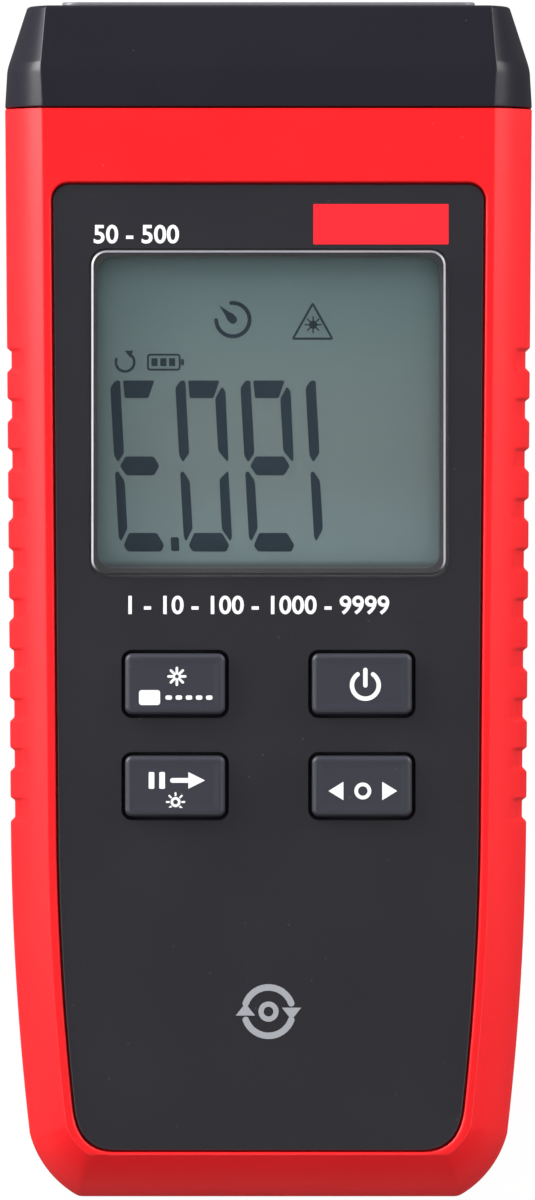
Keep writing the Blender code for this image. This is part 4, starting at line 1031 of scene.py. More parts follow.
    def make_film_and_gap_shade(self) -> Piece:
        """The black adhesive film under the panel and the lens, turned down to line the display opening; in
        the key gaps and round the opening it also stands as painted shade.
        """
        z = (self.pocket_z + self.film_gap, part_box("face_panel")[0].z - self.film_gap)
        # Black film; where it shows in the key gaps and the display opening it is painted shade.
        film = prism("panel_film", self.panel_outline(-self.film_inset), z)
        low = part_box("lcd_glass")[1].z + self.film_foot
        through = (low - OVERRUN, z[1] + OVERRUN)
        way = grown(self.lens_size, -self.film_lip)
        lining = grown(way, self.film_lining)
        collar = prism("film_collar", rounded(lining, self.lens_radius, (0, self.display_y)), (low, z[1]))
        combine(film, Operation.JOIN, [collar])
        cutters = [prism("film_way", rounded(way, self.lens_radius, (0, self.display_y)), through)]
        cutters += self.keys.holes(through)
        return combine(film, Operation.CUT, cutters)

    def build(self, finishes: Finishes) -> None:
        """Makes and installs every part of the housing.

        Args:
            finishes: the materials by name.
        """
        parts = (
            (self.make_front, "red", "red_case", "case", ["front_shell"]),
            (self.make_rear, "red", "red_case", "case", ["rear_shell"]),
            (self.make_door, "red", "red_case", "door", ["battery_door"]),
            (self.make_cap, "charcoal", "charcoal", "case", ["end_cap"]),
            (self.make_panel, "panel", "charcoal", "case", ["face_panel"]),
            (self.make_film_and_gap_shade, "black", "charcoal", "case", []),
        )
        for make, finish, slot, body, nodes in parts:
            install(make(), finishes[finish], body, nodes)
        pane = self.make_window()
        pane.data.materials.append(finishes["smoke"])
        pane.data.materials.append(finishes["pane_edge"])
        for face in pane.data.polygons:
            face.material_index = int(abs(face.normal.y) < 0.99)
        install(pane, finishes["smoke"], "case", ["sensor_window"])


@dataclass
class Inlay:
    """Flat print or liquid crystal shapes, drawn in millimetres and raised by a hair between two heights."""

    z: Point
    hair: float = 0.0015 * MM
    shape: Shape = field(default_factory=bmesh.new)
    count: int = 0

    def top(self) -> float:
        """Height of the next shape's face, a hair from the last so that no two faces fall together."""
        self.count += 1
        return self.z[1] + self.hair * (self.count % 7)

    def plate(self, outline: Sequence[Point]) -> None:
        """Adds a filled outline."""
        points = metres(outline)
        loft([flat_ring(points, self.z[0]), flat_ring(points, self.top())], self.shape)

    def patch(self, x: Point, y: Point, radius: float = 0.1) -> None:
        """Adds a filled rectangle with round corners."""
        centre = ((x[0] + x[1]) / 2, (y[0] + y[1]) / 2)
        self.plate(rounded((x[1] - x[0], y[1] - y[0]), radius, centre, 3))

    def stroke(self, points: Sequence[Point], width: float, closed: bool = False) -> None:
        """Adds a line of even width, with round ends where it is open.

        Args:
            points: the points along its middle.
            width: its width.
            closed: whether it runs back to its start.
        """
        path = [Vector(p) for p in points]
        count = len(path)
        stations = []
        for i, place in enumerate(path):
            before = path[i - 1] if closed or i else path[0]
            after = path[(i + 1) % count] if closed or i < count - 1 else path[-1]
            into = (place - before).normalized() if (place - before).length else (after - place).normalized()
            out = (after - place).normalized() if (after - place).length else into
            across = Vector((-(into + out).y, (into + out).x)).normalized()
            reach = width / 2 / max(0.5, across.dot(Vector((-into.y, into.x))))
            stations.append((place, across * reach))
        if not closed:
            stations = self.round_ends(stations, path, width)
        shape = self.shape
        top = self.top()
        rows = []
        for place, across in stations:
            left, right = metres([place + across, place - across])
            corners = ((*left, self.z[0]), (*right, self.z[0]), (*right, top), (*left, top))
            rows.append([shape.verts.new(corner) for corner in corners])
        if closed:
            rows.append(rows[0])
        for a, b in zip(rows, rows[1:]):
            for i in range(4):
                j = (i + 1) % 4
                shape.faces.new((a[i], a[j], b[j], b[i]))
        if not closed:
            shape.faces.new(list(reversed(rows[0])))
            shape.faces.new(rows[-1])

    def round_ends(
        self, stations: list[tuple[Vector, Vector]], path: list[Vector], width: float
    ) -> list[tuple[Vector, Vector]]:
        """Adds narrowing stations past both ends of an open line."""
        starts = []
        ends = []
        back = (path[0] - path[1]).normalized() * width / 2
        onward = (path[-1] - path[-2]).normalized() * width / 2
        for step in range(1, 5):
            angle = math.radians(80) * step / 4
            starts.insert(0, (path[0] + back * math.sin(angle), stations[0][1] * math.cos(angle)))
            ends.append((path[-1] + onward * math.sin(angle), stations[-1][1] * math.cos(angle)))
        return starts + stations + ends

    def arc(self, centre: Point, radius: float, degrees: Point, width: float) -> None:
        """Adds part of a ring between two angles in degrees, or all of it for a full turn."""
        whole = abs(degrees[1] - degrees[0]) >= 360
        steps = max(6, int(abs(degrees[1] - degrees[0]) / 9))
        turns = [math.radians(mix(*degrees, i / steps)) for i in range(steps + (not whole))]
        points = [(centre[0] + radius * math.cos(a), centre[1] + radius * math.sin(a)) for a in turns]
        self.stroke(points, width, whole)

    def arrow(self, tip: Point, degrees: float, length: float, width: float) -> None:
        """Adds a filled arrow head that points along an angle in degrees."""
        along = Vector((math.cos(math.radians(degrees)), math.sin(math.radians(degrees))))
        across = Vector((-along.y, along.x)) * width / 2
        foot = Vector(tip) - along * length
        self.plate([tuple(Vector(tip)), tuple(foot + across), tuple(foot - across)])

    def burst(self, centre: Point, radii: Point, rays: int, width: float) -> None:
        """Adds short rays round a centre."""
        for i in range(rays):
            angle = 2 * math.pi * i / rays
            along = Vector((math.cos(angle), math.sin(angle)))
            ends = [tuple(Vector(centre) + along * radius) for radius in radii]
            self.stroke(ends, width)

    def numerals(self, words: str, centre: Point, height: float, weight: float = 0.02) -> None:
        """Adds plain numerals in their natural proportions.

        Args:
            words: digits and dashes.
            centre: middle of the line.
            height: height of a digit.
            weight: how far each stroke is fattened, as a share of the text's size.
        """
        curve = bpy.data.curves.new("numerals", "FONT")
        curve.body = words
        curve.offset = weight
        curve.resolution_u = 4
        curve.extrude = 0.5
        text = added("numerals", curve)
        mesh = bpy.data.meshes.new_from_object(text.evaluated_get(bpy.context.evaluated_depsgraph_get()))
        bpy.data.objects.remove(text, do_unlink=True)
        places = [v.co for v in mesh.vertices]
        low = Vector((min(p.x for p in places), min(p.y for p in places), -0.5))
        high = Vector((max(p.x for p in places), max(p.y for p in places), 0.5))
        middle = (low + high) / 2
        size = height / (high.y - low.y)
        for vertex in mesh.vertices:
            x = centre[0] + (vertex.co.x - middle.x) * size
            y = centre[1] + (vertex.co.y - middle.y) * size
            vertex.co = (x * MM, y * MM, self.z[0] if vertex.co.z < 0 else self.z[1])
        self.shape.from_mesh(mesh)
        bpy.data.meshes.remove(mesh)
        bmesh.ops.remove_doubles(self.shape, verts=self.shape.verts, dist=0.0005 * MM)

    def make(self, name: str) -> Piece:
        """Turns the shapes into one object."""
        return solid(name, self.shape)


class Stroke(Enum):
    """Strokes of a seven-part digit, with corners in millimetres right of and below its upper left."""

    TOP = ((1.49, 0.05), (5.08, 0.05), (4.27, 2.05), (1.58, 2.05))
    LEFT_UPPER = ((0.0, 0.91), (0.63, 0.06), (1.18, 0.06), (1.16, 8.31), (0.4, 9.34), (0.0, 8.54))
    RIGHT_UPPER = ((5.3, 0.74), (5.68, 1.29), (5.58, 9.02), (5.43, 9.29), (4.46, 8.05), (4.46, 2.11))
    MIDDLE = ((0.6, 9.78), (1.28, 8.68), (4.52, 8.68), (5.11, 9.78), (4.4, 10.84), (1.29, 10.84))
    LEFT_LOWER = ((0.35, 10.33), (1.05, 11.5), (1.06, 16.89), (0.25, 18.34), (0.0, 17.86), (0.0, 10.54))
    RIGHT_LOWER = ((5.44, 10.33), (5.5, 10.54), (5.48, 17.86), (5.27, 18.34), (4.39, 16.96), (4.42, 11.3))
    BOTTOM = ((1.2, 17.37), (4.37, 17.37), (5.13, 18.76), (4.75, 19.49), (0.95, 19.49), (0.5, 18.82))
    POINT = ((5.9, 17.86), (6.83, 17.86), (6.83, 19.44), (5.9, 19.44))


def soften(outline: Sequence[Point], radius: float) -> list[Point]:
    """Rounds the corners of an outline.

    Args:
        outline: the corners.
        radius: how far from each corner its rounding starts.

    Returns:
        The rounded outline.
    """
    points = []
    corners = [Vector(p) for p in outline]
    for i, corner in enumerate(corners):
        before = corners[i - 1] - corner
        after = corners[(i + 1) % len(corners)] - corner
        start = corner + before.normalized() * min(radius, before.length * 0.45)
        end = corner + after.normalized() * min(radius, after.length * 0.45)
        for step in range(4):
            share = step / 3
            bend = start.lerp(corner, share).lerp(corner.lerp(end, share), share)
            points.append(tuple(bend))
    return points


@dataclass
class Display:
    """The clear lens, the liquid crystal glass under it and what it reads, its digits in millimetres."""

    centre_y: float
    size: Point = (40.2 * MM, 36.8 * MM)
    radius: float = 1.7 * MM
    chamfer: float = 0.21 * MM
    lip: float = 0.02 * MM
    ease: float = 0.015 * MM
    glass_round: float = 0.3 * MM
    glass_edge: float = 0.1 * MM
    ink: float = 0.03 * MM
    digit_origin: Point = (-18.04, 24.92)
    digit_pitch: float = 7.4
    hair: float = 0.0001 * MM
    slant: float = 0.0564
    corner: float = 0.22

    def make_lens(self) -> Piece:
        """The lens, with a chamfered rim.

        Returns:
            The solid.
        """
        low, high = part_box("display_window")
        foot = high.z - self.chamfer
        steps = [(low.z, 0.0), (foot - self.lip, 0.0), (foot, self.ease)]
        steps += [(high.z - self.lip, self.chamfer - self.ease), (high.z, self.chamfer + self.lip)]
        return tablet("display_lens", self.size, self.radius, (0, self.centre_y), steps, 12)

    def make_glass(self) -> Piece:
        """The liquid crystal glass with its ground edges."""
        low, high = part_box("lcd_glass")
        edge = self.glass_edge
        rows = [(low.z, edge), (low.z + edge, 0.0), (high.z - edge, 0.0), (high.z, edge)]
        centre = middle_of("lcd_glass").xy
        return tablet("lcd_panel", (high - low).xy, self.glass_round, centre, rows, 4)

    def digit(self, inlay: Inlay, place: int, strokes: Sequence[Stroke]) -> None:
        """Adds one digit's strokes.

        Args:
            inlay: what they are added to.
            place: the digit's place, from 0 at the left.
            strokes: which strokes are dark.
        """
        left = self.digit_origin[0] + place * self.digit_pitch
        top = self.digit_origin[1]
        for stroke in strokes:
            outline = [(left + x + self.slant * y, top - y) for x, y in stroke.value]
            inlay.plate(soften(outline, self.corner))

    def make_reading(self) -> Piece:
        """The dark strokes of the reading and its small signs.

        Returns:
            The inlay as one object.
        """
        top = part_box("lcd_glass")[1].z
        inlay = Inlay((top, top + self.ink))
        left = (Stroke.LEFT_UPPER, Stroke.LEFT_LOWER)
        right = (Stroke.RIGHT_UPPER, Stroke.RIGHT_LOWER)
        ends = (Stroke.TOP, Stroke.BOTTOM)
        self.digit(inlay, 0, left + ends + (Stroke.MIDDLE, Stroke.POINT))
        self.digit(inlay, 1, left + right + ends)
        self.digit(inlay, 2, left + ends + (Stroke.MIDDLE, Stroke.RIGHT_UPPER))
        self.digit(inlay, 3, left)
        timer = (-4.05, 31.78)
        inlay.arc(timer, 1.9, (-178, 96), 0.45)
        inlay.stroke([timer, (-4.35, 32.1)], 0.95)
        inlay.arrow((-5.6, 33.4), 134, 2.0, 0.92)
        corners = [(2.78, 29.62), (7.25, 29.62), (5.02, 33.6)]
        inlay.stroke(soften(corners, 0.12), 0.25, True)
        inlay.burst((5.07, 31.2), (0.3, 0.9), 8, 0.16)
        inlay.plate(circle(0.48, (5.07, 31.2), 16))
        inlay.arc((-16.3, 26.95), 1.05, (-200, 60), 0.3)
        inlay.arrow((-16.35, 28.25), 155, 0.9, 0.9)
        frame = rounded((3.6, 1.7), 0.25, (-11.9, 26.95), 3)
        inlay.stroke(frame, 0.22, True)
        inlay.patch((-9.95, -9.6), (26.6, 27.3), 0.05)
        for i in range(3):
            x = i - 13.3
            inlay.patch((x, x + 0.7), (26.5, 27.4), 0.05)
        return inlay.make("lcd_reading")

    def build(self, finishes: Finishes) -> None:
        """Makes and installs the lens, the glass and the reading.

        Args:
            finishes: the materials by name.
        """
        lens = self.make_lens()
        lens.data.materials.append(finishes["lens"])
        lens.data.materials.append(finishes["rim"])
        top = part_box("display_window")[1].z
        # The chamfer's faces take the rim finish, a painted reflection.
        for face in lens.data.polygons:
            if self.hair < top - face.center.z < self.chamfer + 1.5 * self.lip:
                face.material_index = 1
        install(lens, finishes["lens"], "case", ["display_window"], 20.0)
        install(self.make_glass(), finishes["crystal"], "case", ["lcd_glass"])
        install(self.make_reading(), finishes["segments"])


@dataclass
class FacePrint:
    """What is printed on the face panel: a red field, plain numerals and a turning-wheel sign.

    Apart from the ink's thickness its sizes are millimetres.
    """

    ink: float = 0.02 * MM
    red_x: Point = (5.09, 20.44)
    red_y: Point = (40.29, 44.87)
    range_place: Point = (-15.0, 41.45)
    range_height: float = 2.15
    scale_place: Point = (-1.1, -0.65)
    scale_height: float = 2.15
    wheel: Point = (0.0, -46.8)

    def build(self, finishes: Finishes) -> None:
        """Makes and installs the print.

        Args:
            finishes: the materials by name.
        """
        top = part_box("face_panel")[1].z
        z = (top - self.ink / 2, top + self.ink)
        field_patch = Inlay(z)
        field_patch.patch(self.red_x, self.red_y, 0.12)
        install(field_patch.make("red_field"), finishes["red_ink"])
        white = Inlay(z)
        white.numerals("50 - 500", self.range_place, self.range_height)
        white.numerals("1 - 10 - 100 - 1000 - 9999", self.scale_place, self.scale_height)
        install(white.make("face_numerals"), finishes["white_ink"])
        grey = Inlay(z)
        grey.arc(self.wheel, 2.75, (20, 160), 0.74)
        grey.arc(self.wheel, 2.75, (200, 340), 0.74)
        for side in (-1, 1):
            x = self.wheel[0] + side * 2.62
            grey.arrow((x, self.wheel[1] - side * 0.95), -90 * side, 1.4, 2.2)
        grey.arc(self.wheel, 0.85, (0, 360), 0.6)
        install(grey.make("turning_sign"), finishes["grey_ink"])


@dataclass
class KeyPad:
    """The four keys with their print."""

    grid: KeyGrid
    round: float = 0.6 * MM
    gap: float = 0.12 * MM
    flange: float = 0.9 * MM
    flange_thickness: float = 1.0 * MM
    dish: float = 0.06 * MM
    dish_reach: float = 0.85 * MM
    ink: float = 0.025 * MM

    def make_key(self, name: str, centre: Point) -> Piece:
        """One key cap: flange, straight shank, round edge and a faint dish in its top.

        Args:
            name: the key's name.
            centre: its centre.

        Returns:
            The solid.
        """
        low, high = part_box(f"key_{name}")
        rows = [(low.z, -self.flange), (low.z + self.flange_thickness, -self.flange)]
        rows.append((low.z + self.flange_thickness, self.gap))
        rows += [(high.z - drop, self.gap + inset) for drop, inset in quarter(self.round, 8)]
        for step in range(1, 5):
            inset = self.gap + self.round + self.dish_reach * step / 4
            rows.append((high.z - self.dish * smooth(step / 4), inset))
        size = (self.grid.width, self.grid.height)
        return tablet(f"key_cap_{name}", size, self.grid.radius, centre, rows, 6)

    def print_power(self, inlay: Inlay) -> None:
        """On and off sign."""
        centre = (10.99, -9.76)
        inlay.arc(centre, 1.52, (125, 415), 0.5)
        inlay.stroke([centre, (centre[0], centre[1] + 1.75)], 0.5)

    def print_laser(self, inlay: Inlay) -> None:
        """A burst above a dashed beam."""
        inlay.burst((-10.4, -8.75), (0.35, 0.95), 8, 0.3)
        inlay.patch((-14.7, -12.3), (-12.0, -10.3), 0.3)
        for i in range(5):
            x = -11.7 + i * 1.15
            inlay.patch((x, x + 0.75), (-11.4, -10.9), 0.2)

    def print_hold(self, inlay: Inlay) -> None:
        """Two bars and an arrow above a lamp."""
        for x in (-13.6, -12.4):
            inlay.patch((x, x + 0.65), (-21.5, -19.6), 0.12)
        inlay.arrow((-7.2, -20.55), 0, 1.9, 1.9)
        inlay.stroke([(-10.9, -20.55), (-9.0, -20.55)], 0.55)
        inlay.arc((-10.55, -23.0), 0.42, (0, 360), 0.3)
        inlay.burst((-10.55, -23.0), (0.75, 1.0), 8, 0.22)

    def print_mode(self, inlay: Inlay) -> None:
        """Two arrows either side of a ring."""
        inlay.arrow((6.8, -21.75), 180, 1.7, 2.1)
        inlay.arrow((14.6, -21.75), 0, 1.7, 2.1)
        inlay.arc((10.7, -21.75), 0.75, (0, 360), 0.42)

    def build(self, finishes: Finishes) -> None:
        """Makes and installs the keys and their print.

        Args:
            finishes: the materials by name.
        """
        prints = {
            "power": self.print_power,
            "laser": self.print_laser,
            "mode": self.print_mode,
            "hold": self.print_hold,
        }
        for name, centre in self.grid.centres().items():
            key = self.make_key(name, centre)
            install(key, finishes["key"], f"{name}_key", [f"key_{name}"])
            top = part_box(f"key_{name}")[1].z - self.dish
            inlay = Inlay((top - self.ink / 2, top + self.ink))
            prints[name](inlay)
            install(inlay.make(f"key_print_{name}"), finishes["white_ink"], f"{name}_key")


class FormTree:
    """A Geometry Nodes tree with named inputs, whose result becomes a plain mesh."""

    def __init__(self, name: str, inputs: dict[str, tuple[str, object]]) -> None:
        """Makes an empty tree.

        Args:
            name: name of the tree.
            inputs: socket type and standing value of each input by its name.
        """
        self.tree = bpy.data.node_groups.new(name, "GeometryNodeTree")
        for label, (kind, value) in inputs.items():
            socket = self.tree.interface.new_socket(label, in_out="INPUT", socket_type=kind)
            if value is not None:
                socket.default_value = value
        self.tree.interface.new_socket("Finish", in_out="INPUT", socket_type="NodeSocketMaterial")
        self.tree.interface.new_socket("Form", in_out="OUTPUT", socket_type="NodeSocketGeometry")
        self.graph = Graph(self.tree)
        self.given = self.graph.node("NodeGroupInput").outputs

    def close(self, form: Socket) -> None:
        """Ends the tree in Realize Instances and Set Material."""
        real = self.graph.node("GeometryNodeRealizeInstances", {0: form})
        inputs = {"Geometry": real.outputs[0], "Material": self.given["Finish"]}
        dressed = self.graph.node("GeometryNodeSetMaterial", inputs)
        self.graph.node("NodeGroupOutput", {0: dressed.outputs[0]})

    def sweep(self, curve: Socket, sides: int) -> None:
        """Ends the tree in a wire of round section along a curve."""
        section = {"Resolution": sides, "Radius": self.given["Wire"]}
        profile = self.graph.node("GeometryNodeCurvePrimitiveCircle", section).outputs[0]
        wire = {"Curve": curve, "Profile Curve": profile, "Fill Caps": True}
        self.close(self.graph.node("GeometryNodeCurveToMesh", wire).outputs[0])

    def grow(self, name: str, values: dict[str, object], base: bpy.types.Mesh | None = None) -> Piece:
        """Runs the tree and keeps its result as a plain mesh.

        Args:
            name: name of the new object.
            values: input values by name.
            base: the mesh that the tree starts from, where it needs one.

        Returns:
            The object, with the modifier removed.
        """
        made = added(name, base or bpy.data.meshes.new(name))
        modifier = made.modifiers.new(self.tree.name, "NODES")
        modifier.node_group = self.tree
        for item in self.tree.interface.items_tree:
            if item.in_out == "INPUT" and item.name in values:
                modifier[item.identifier] = values[item.name]
        return settle(made)


def coil_tree() -> FormTree:
    """Tree of a conical coil about the Z axis, as a wire of round section."""
    number = "NodeSocketFloat"
    inputs = {"Turns": (number, 3.5), "Wide": (number, 3.5 * MM), "Narrow": (number, 1.9 * MM)}
    inputs |= {"Length": (number, 5.0 * MM), "Wire": (number, 0.3 * MM)}
    made = FormTree("coil", inputs)
    graph, given = made.graph, made.given
    shape = {"Resolution": 36, "Rotations": given["Turns"], "Start Radius": given["Wide"]}
    shape |= {"End Radius": given["Narrow"], "Height": given["Length"]}
    spiral = graph.node("GeometryNodeCurveSpiral", shape)
    made.sweep(spiral.outputs[0], 10)
    return made


def wire_tree() -> FormTree:
    """Tree of a round wire that runs smoothly through the points of a line."""
    made = FormTree("wire", {"Line": ("NodeSocketGeometry", None), "Wire": ("NodeSocketFloat", 0.5 * MM)})
    graph, given = made.graph, made.given
    line = graph.node("GeometryNodeMeshToCurve", {0: given["Line"]})
    smooth_line = graph.node("GeometryNodeCurveSplineType", {0: line.outputs[0]}, spline_type="CATMULL_ROM")
    fine = graph.node("GeometryNodeSetSplineResolution", {0: smooth_line.outputs[0], "Resolution": 8})
    made.sweep(fine.outputs[0], 12)
    return made


def spread_tree() -> FormTree:
    """Tree that sets a form on every point of a mesh, turned about the Z axis."""
    inputs = {"Places": ("NodeSocketGeometry", None), "Part": ("NodeSocketObject", None)}
    inputs["Turn"] = ("NodeSocketVector", (0.0, 0.0, 0.0))
    made = FormTree("spread", inputs)
    graph, given = made.graph, made.given
    part = graph.node("GeometryNodeObjectInfo", {"Object": given["Part"]})
    share = {"Points": given["Places"], "Instance": part.outputs["Geometry"], "Rotation": given["Turn"]}
    made.close(graph.node("GeometryNodeInstanceOnPoints", share).outputs[0])
    return made


def marks(name: str, places: Sequence[Place], linked: bool = False) -> bpy.types.Mesh:
    """A mesh of points for a tree to start from, each joined to the next by an edge where linked."""
    mesh = bpy.data.meshes.new(name)
    edges = [(i, i + 1) for i in range(len(places) - 1)] if linked else []
    mesh.from_pydata([tuple(place) for place in places], edges, [])
    return mesh


@dataclass
class InnerWorks:
    """What the shells hold: board, switches, cells, contacts, leads, optics and screws."""

    power_wire: float = 0.5 * MM
    signal_wire: float = 0.4 * MM
    thread_root: float = 0.86
    thread_pitch: float = 0.6 * MM
    spring_turns: float = 3.5
    spring_radii: Point = (3.5 * MM, 1.9 * MM)
    spring_wire: float = 0.3 * MM
    crimp: float = 0.6 * MM
    nipple: Point = (1.9 * MM, 1.2 * MM)
    sleeve_end: float = 2.2 * MM
    copper_share: float = 0.24
    pin_count: int = 12
    pin_pitch: float = 0.7 * MM
    optic_x: float = 9.0 * MM
    optic_z: float = 13.5 * MM
    board_back: float = 15.3 * MM
    pads: Point = (1.0 * MM, 0.55 * MM)
    coil: FormTree = field(default_factory=coil_tree)
    wire: FormTree = field(default_factory=wire_tree)
    spread: FormTree = field(default_factory=spread_tree)

    def carry(self, node: str, finish: Material) -> None:
        """Gives a frame node its finish and leaves its shape as it is."""
        mesh = bpy.data.objects[node].data
        mesh.materials.clear()
        mesh.materials.append(finish)
        LOG.info("%s keeps its solid", node)

    def scatter(
        self,
        name: str,
        part: Piece,
        places: Sequence[Place],
        finish: Material,
        turn: float = 0.0,
    ) -> Piece:
        """Sets copies of a form on points, as one piece.

        Args:
            name: name of the piece.
            part: the form, at the origin, which is removed.
            places: where the copies go.
            finish: their material.
            turn: angle about Z in radians.

        Returns:
            The piece.
        """
        values = {"Part": part, "Finish": finish, "Turn": (0.0, 0.0, turn)}
        made = self.spread.grow(name, values, marks(name, places))
        bpy.data.objects.remove(part, do_unlink=True)
        return made

    def make_screw(self, head: Point, shank: Point, recess: Point) -> Piece:
        """A pan-head screw standing on its head, with a cross recess and a thread in rings.

        Args:
            head: radius and height of the head.
            shank: radius of the shank and whole length.
            recess: length and width of the recess's arms.

        Returns:
            The screw.
        """
        radius, height = head
        outer, length = shank
        root = outer * self.thread_root
        neck = height + self.thread_pitch / 2
        profile = [(0, 0), (0.62 * radius, 0), (0.9 * radius, 0.18 * height), (radius, 0.45 * height)]
        profile += [(radius, height), (root, height), (root, neck)]
        for i in range(int((length - height - outer - 0.4 * MM) / self.thread_pitch)):
            start = neck + i * self.thread_pitch
            profile += [(outer, start + 0.45 * self.thread_pitch), (root, start + self.thread_pitch)]
        profile += [(outer * 0.35, length - 0.05 * MM), (0, length)]
        screw = turned("screw_form", profile, Vector(), Vector((0, 0, 1)), 24)
        deep = (-OVERRUN, 0.62 * height)
        arms = [(recess[0], recess[1]), (recess[1], recess[0])]
        cross = [block(f"arm_{i}", (-x / 2, x / 2), (-y / 2, y / 2), deep) for i, (x, y) in enumerate(arms)]
        return combine(screw, Operation.CUT, cross)

    def make_screws(self, steel: Material) -> None:
        """The four case screws and the three board screws, each set as one piece."""
        cases = [f"case_screw_{i}" for i in range(1, 5)]
        boards = [f"board_screw_{i}" for i in range(1, 4)]
        sets = (
            ("case_screw_set", cases, (2.2 * MM, 1.4 * MM), 1.1 * MM, (2.3 * MM, 0.5 * MM)),
            ("board_screw_set", boards, (1.7 * MM, 1.0 * MM), 0.85 * MM, (1.7 * MM, 0.4 * MM)),
        )
        for name, nodes, head, radius, recess in sets:
            low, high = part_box(nodes[0])
            length = high.z - low.z
            places = [(*middle_of(node).xy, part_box(node)[0].z) for node in nodes]
            form = self.make_screw(head, (radius, length), recess)
            install(self.scatter(name, form, places, steel), steel, "case", nodes, 24)

    def make_cell(self, number: int, finishes: Finishes) -> Piece:
        """A cell with a printed sleeve, rolled crimps, a nipple and bare steel ends.

        Args:
            number: 1 to 3; the second lies the other way round.
            finishes: the materials by name.

        Returns:
            The cell.
        """
        low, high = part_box(f"cell_{number}")
        way = -1 if number == 2 else 1
        length = high.y - low.y
        can = length - self.nipple[1]
        radius = (high.x - low.x) / 2
        crimp = self.crimp
        dent = 0.25 * MM
        profile = [(0, dent), (radius - 1.6 * MM, dent), (radius - 1.3 * MM, 0), (radius - crimp, 0)]
        profile += [(radius - 0.2 * MM, 0.2 * MM), (radius, crimp), (radius, self.sleeve_end)]
        profile += [(radius, can * (1 - self.copper_share)), (radius, can - crimp)]
        profile += [(radius - 0.2 * MM, can - 0.2 * MM), (radius - crimp, can), (radius - 1.5 * MM, can)]
        profile += [(radius - 1.7 * MM, can - 0.3 * MM), (self.nipple[0] + 0.25 * MM, can - 0.3 * MM)]
        profile += [(self.nipple[0], can - 0.1 * MM), (self.nipple[0], length - 0.25 * MM)]
        profile += [(self.nipple[0] - 0.25 * MM, length), (0, length)]
        start = low.y if way > 0 else high.y
        middle = middle_of(f"cell_{number}")
        middle.y = start
        cell = turned(f"battery_cell_{number}", profile, middle, Vector((0, way, 0)), 56)
        for name in ("sleeve", "copper", "steel"):
            cell.data.materials.append(finishes[name])
        for face in cell.data.polygons:
            along = abs(face.center.y - start)
            out = math.hypot(face.center.x - middle.x, face.center.z - middle.z)
            on_sleeve = out > radius - 0.9 * MM and along > 0.05 * MM
            face.material_index = (1 if along > can * (1 - self.copper_share) else 0) if on_sleeve else 2
        return cell

    def make_springs(self, steel: Material) -> None:
        """The conical contact spring at the flat end of each cell, as a coiled wire."""
        for number in (1, 2, 3):
            low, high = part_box(f"spring_{number}")
            way = -1 if number == 2 else 1
            middle = middle_of(f"cell_{number}")
            middle.y = high.y - self.spring_wire if number == 2 else low.y + self.spring_wire
            length = high.y - low.y - 2 * self.spring_wire
            wide, narrow = self.spring_radii
            values = {"Turns": self.spring_turns, "Wide": wide, "Narrow": narrow}
            values |= {"Length": length, "Wire": self.spring_wire, "Finish": steel}
            spring = self.coil.grow(f"cell_spring_{number}", values)
            turn = Vector((0, 0, 1)).rotation_difference(Vector((0, way, 0))).to_matrix().to_4x4()
            spring.data.transform(Matrix.Translation(middle) @ turn)
            install(spring, steel, "case", [f"spring_{number}"], 50)

    def make_contacts(self, steel: Material) -> None:
        """Pressed bosses on the contact plates, where a nipple or a spring meets them."""
        profile = metres([(0, -0.1), (2.6, -0.1), (2.5, 0.08), (1.6, 0.22), (0, 0.24)])
        plates = (("contact_positive", 0, -1), ("contact_bridge_bottom", 1, 1), ("contact_bridge_top", 0, -1))
        for number, (plate, side, way) in enumerate(plates, 1):
            place = middle_of(f"cell_{number}")
            place.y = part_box(plate)[side].y
            boss = turned(f"contact_boss_{number}", profile, place, Vector((0, way, 0)), 32)
            install(boss, steel)

    def make_leads(self, finishes: Finishes) -> list[Point]:
        """Insulated leads along their routes from the contacts and the optics to the board.

        Args:
            finishes: the materials by name.

        Returns:
            Where the leads land on the board.
        """
        land = (self.board_back - GAP) / MM
        tab = [(-10.3, 13.2), (-9.1, 13.2), (-6.6, 13.7), (-5.6, land)]
        back = [(-63.0, 12.0), (-60.8, 9.25), (-56.8, 8.25), (-49.0, 8.25), (-38.2, 9.25), (-34.2, land)]
        routes = {
            "battery_lead_positive": ("lead_red", self.power_wire, -11.1, tab),
            "battery_lead_negative": ("lead_black", self.power_wire, 20.2, back),
        }
        starts = (
            ("laser", -9.0, 49.6, ("lead_red", "lead_black")),
            ("sensor", 9.0, 49.7, ("lead_yellow", "lead_grey")),
        )
        for name, middle, start, sleeves in starts:
            drop = [(start, 13.5), (start - 1.2, 13.0), (45.6, 13.0), (44.1, land)]
            for number, x in enumerate((middle - 1.25, middle + 1.25)):
                routes[f"{name}_lead_{number + 1}"] = (sleeves[number], self.signal_wire, x, drop)
        landings = []
        for node, (sleeve, radius, x, route) in routes.items():
            values = {"Wire": radius, "Finish": finishes[sleeve]}
            places = [(x * MM, y * MM, z * MM) for y, z in route]
            lead = self.wire.grow(f"{node}_sleeve", values, marks(node, places, True))
            install(lead, finishes[sleeve], "case", [node], 50)
            landings.append(places[-1][:2])
        return landings

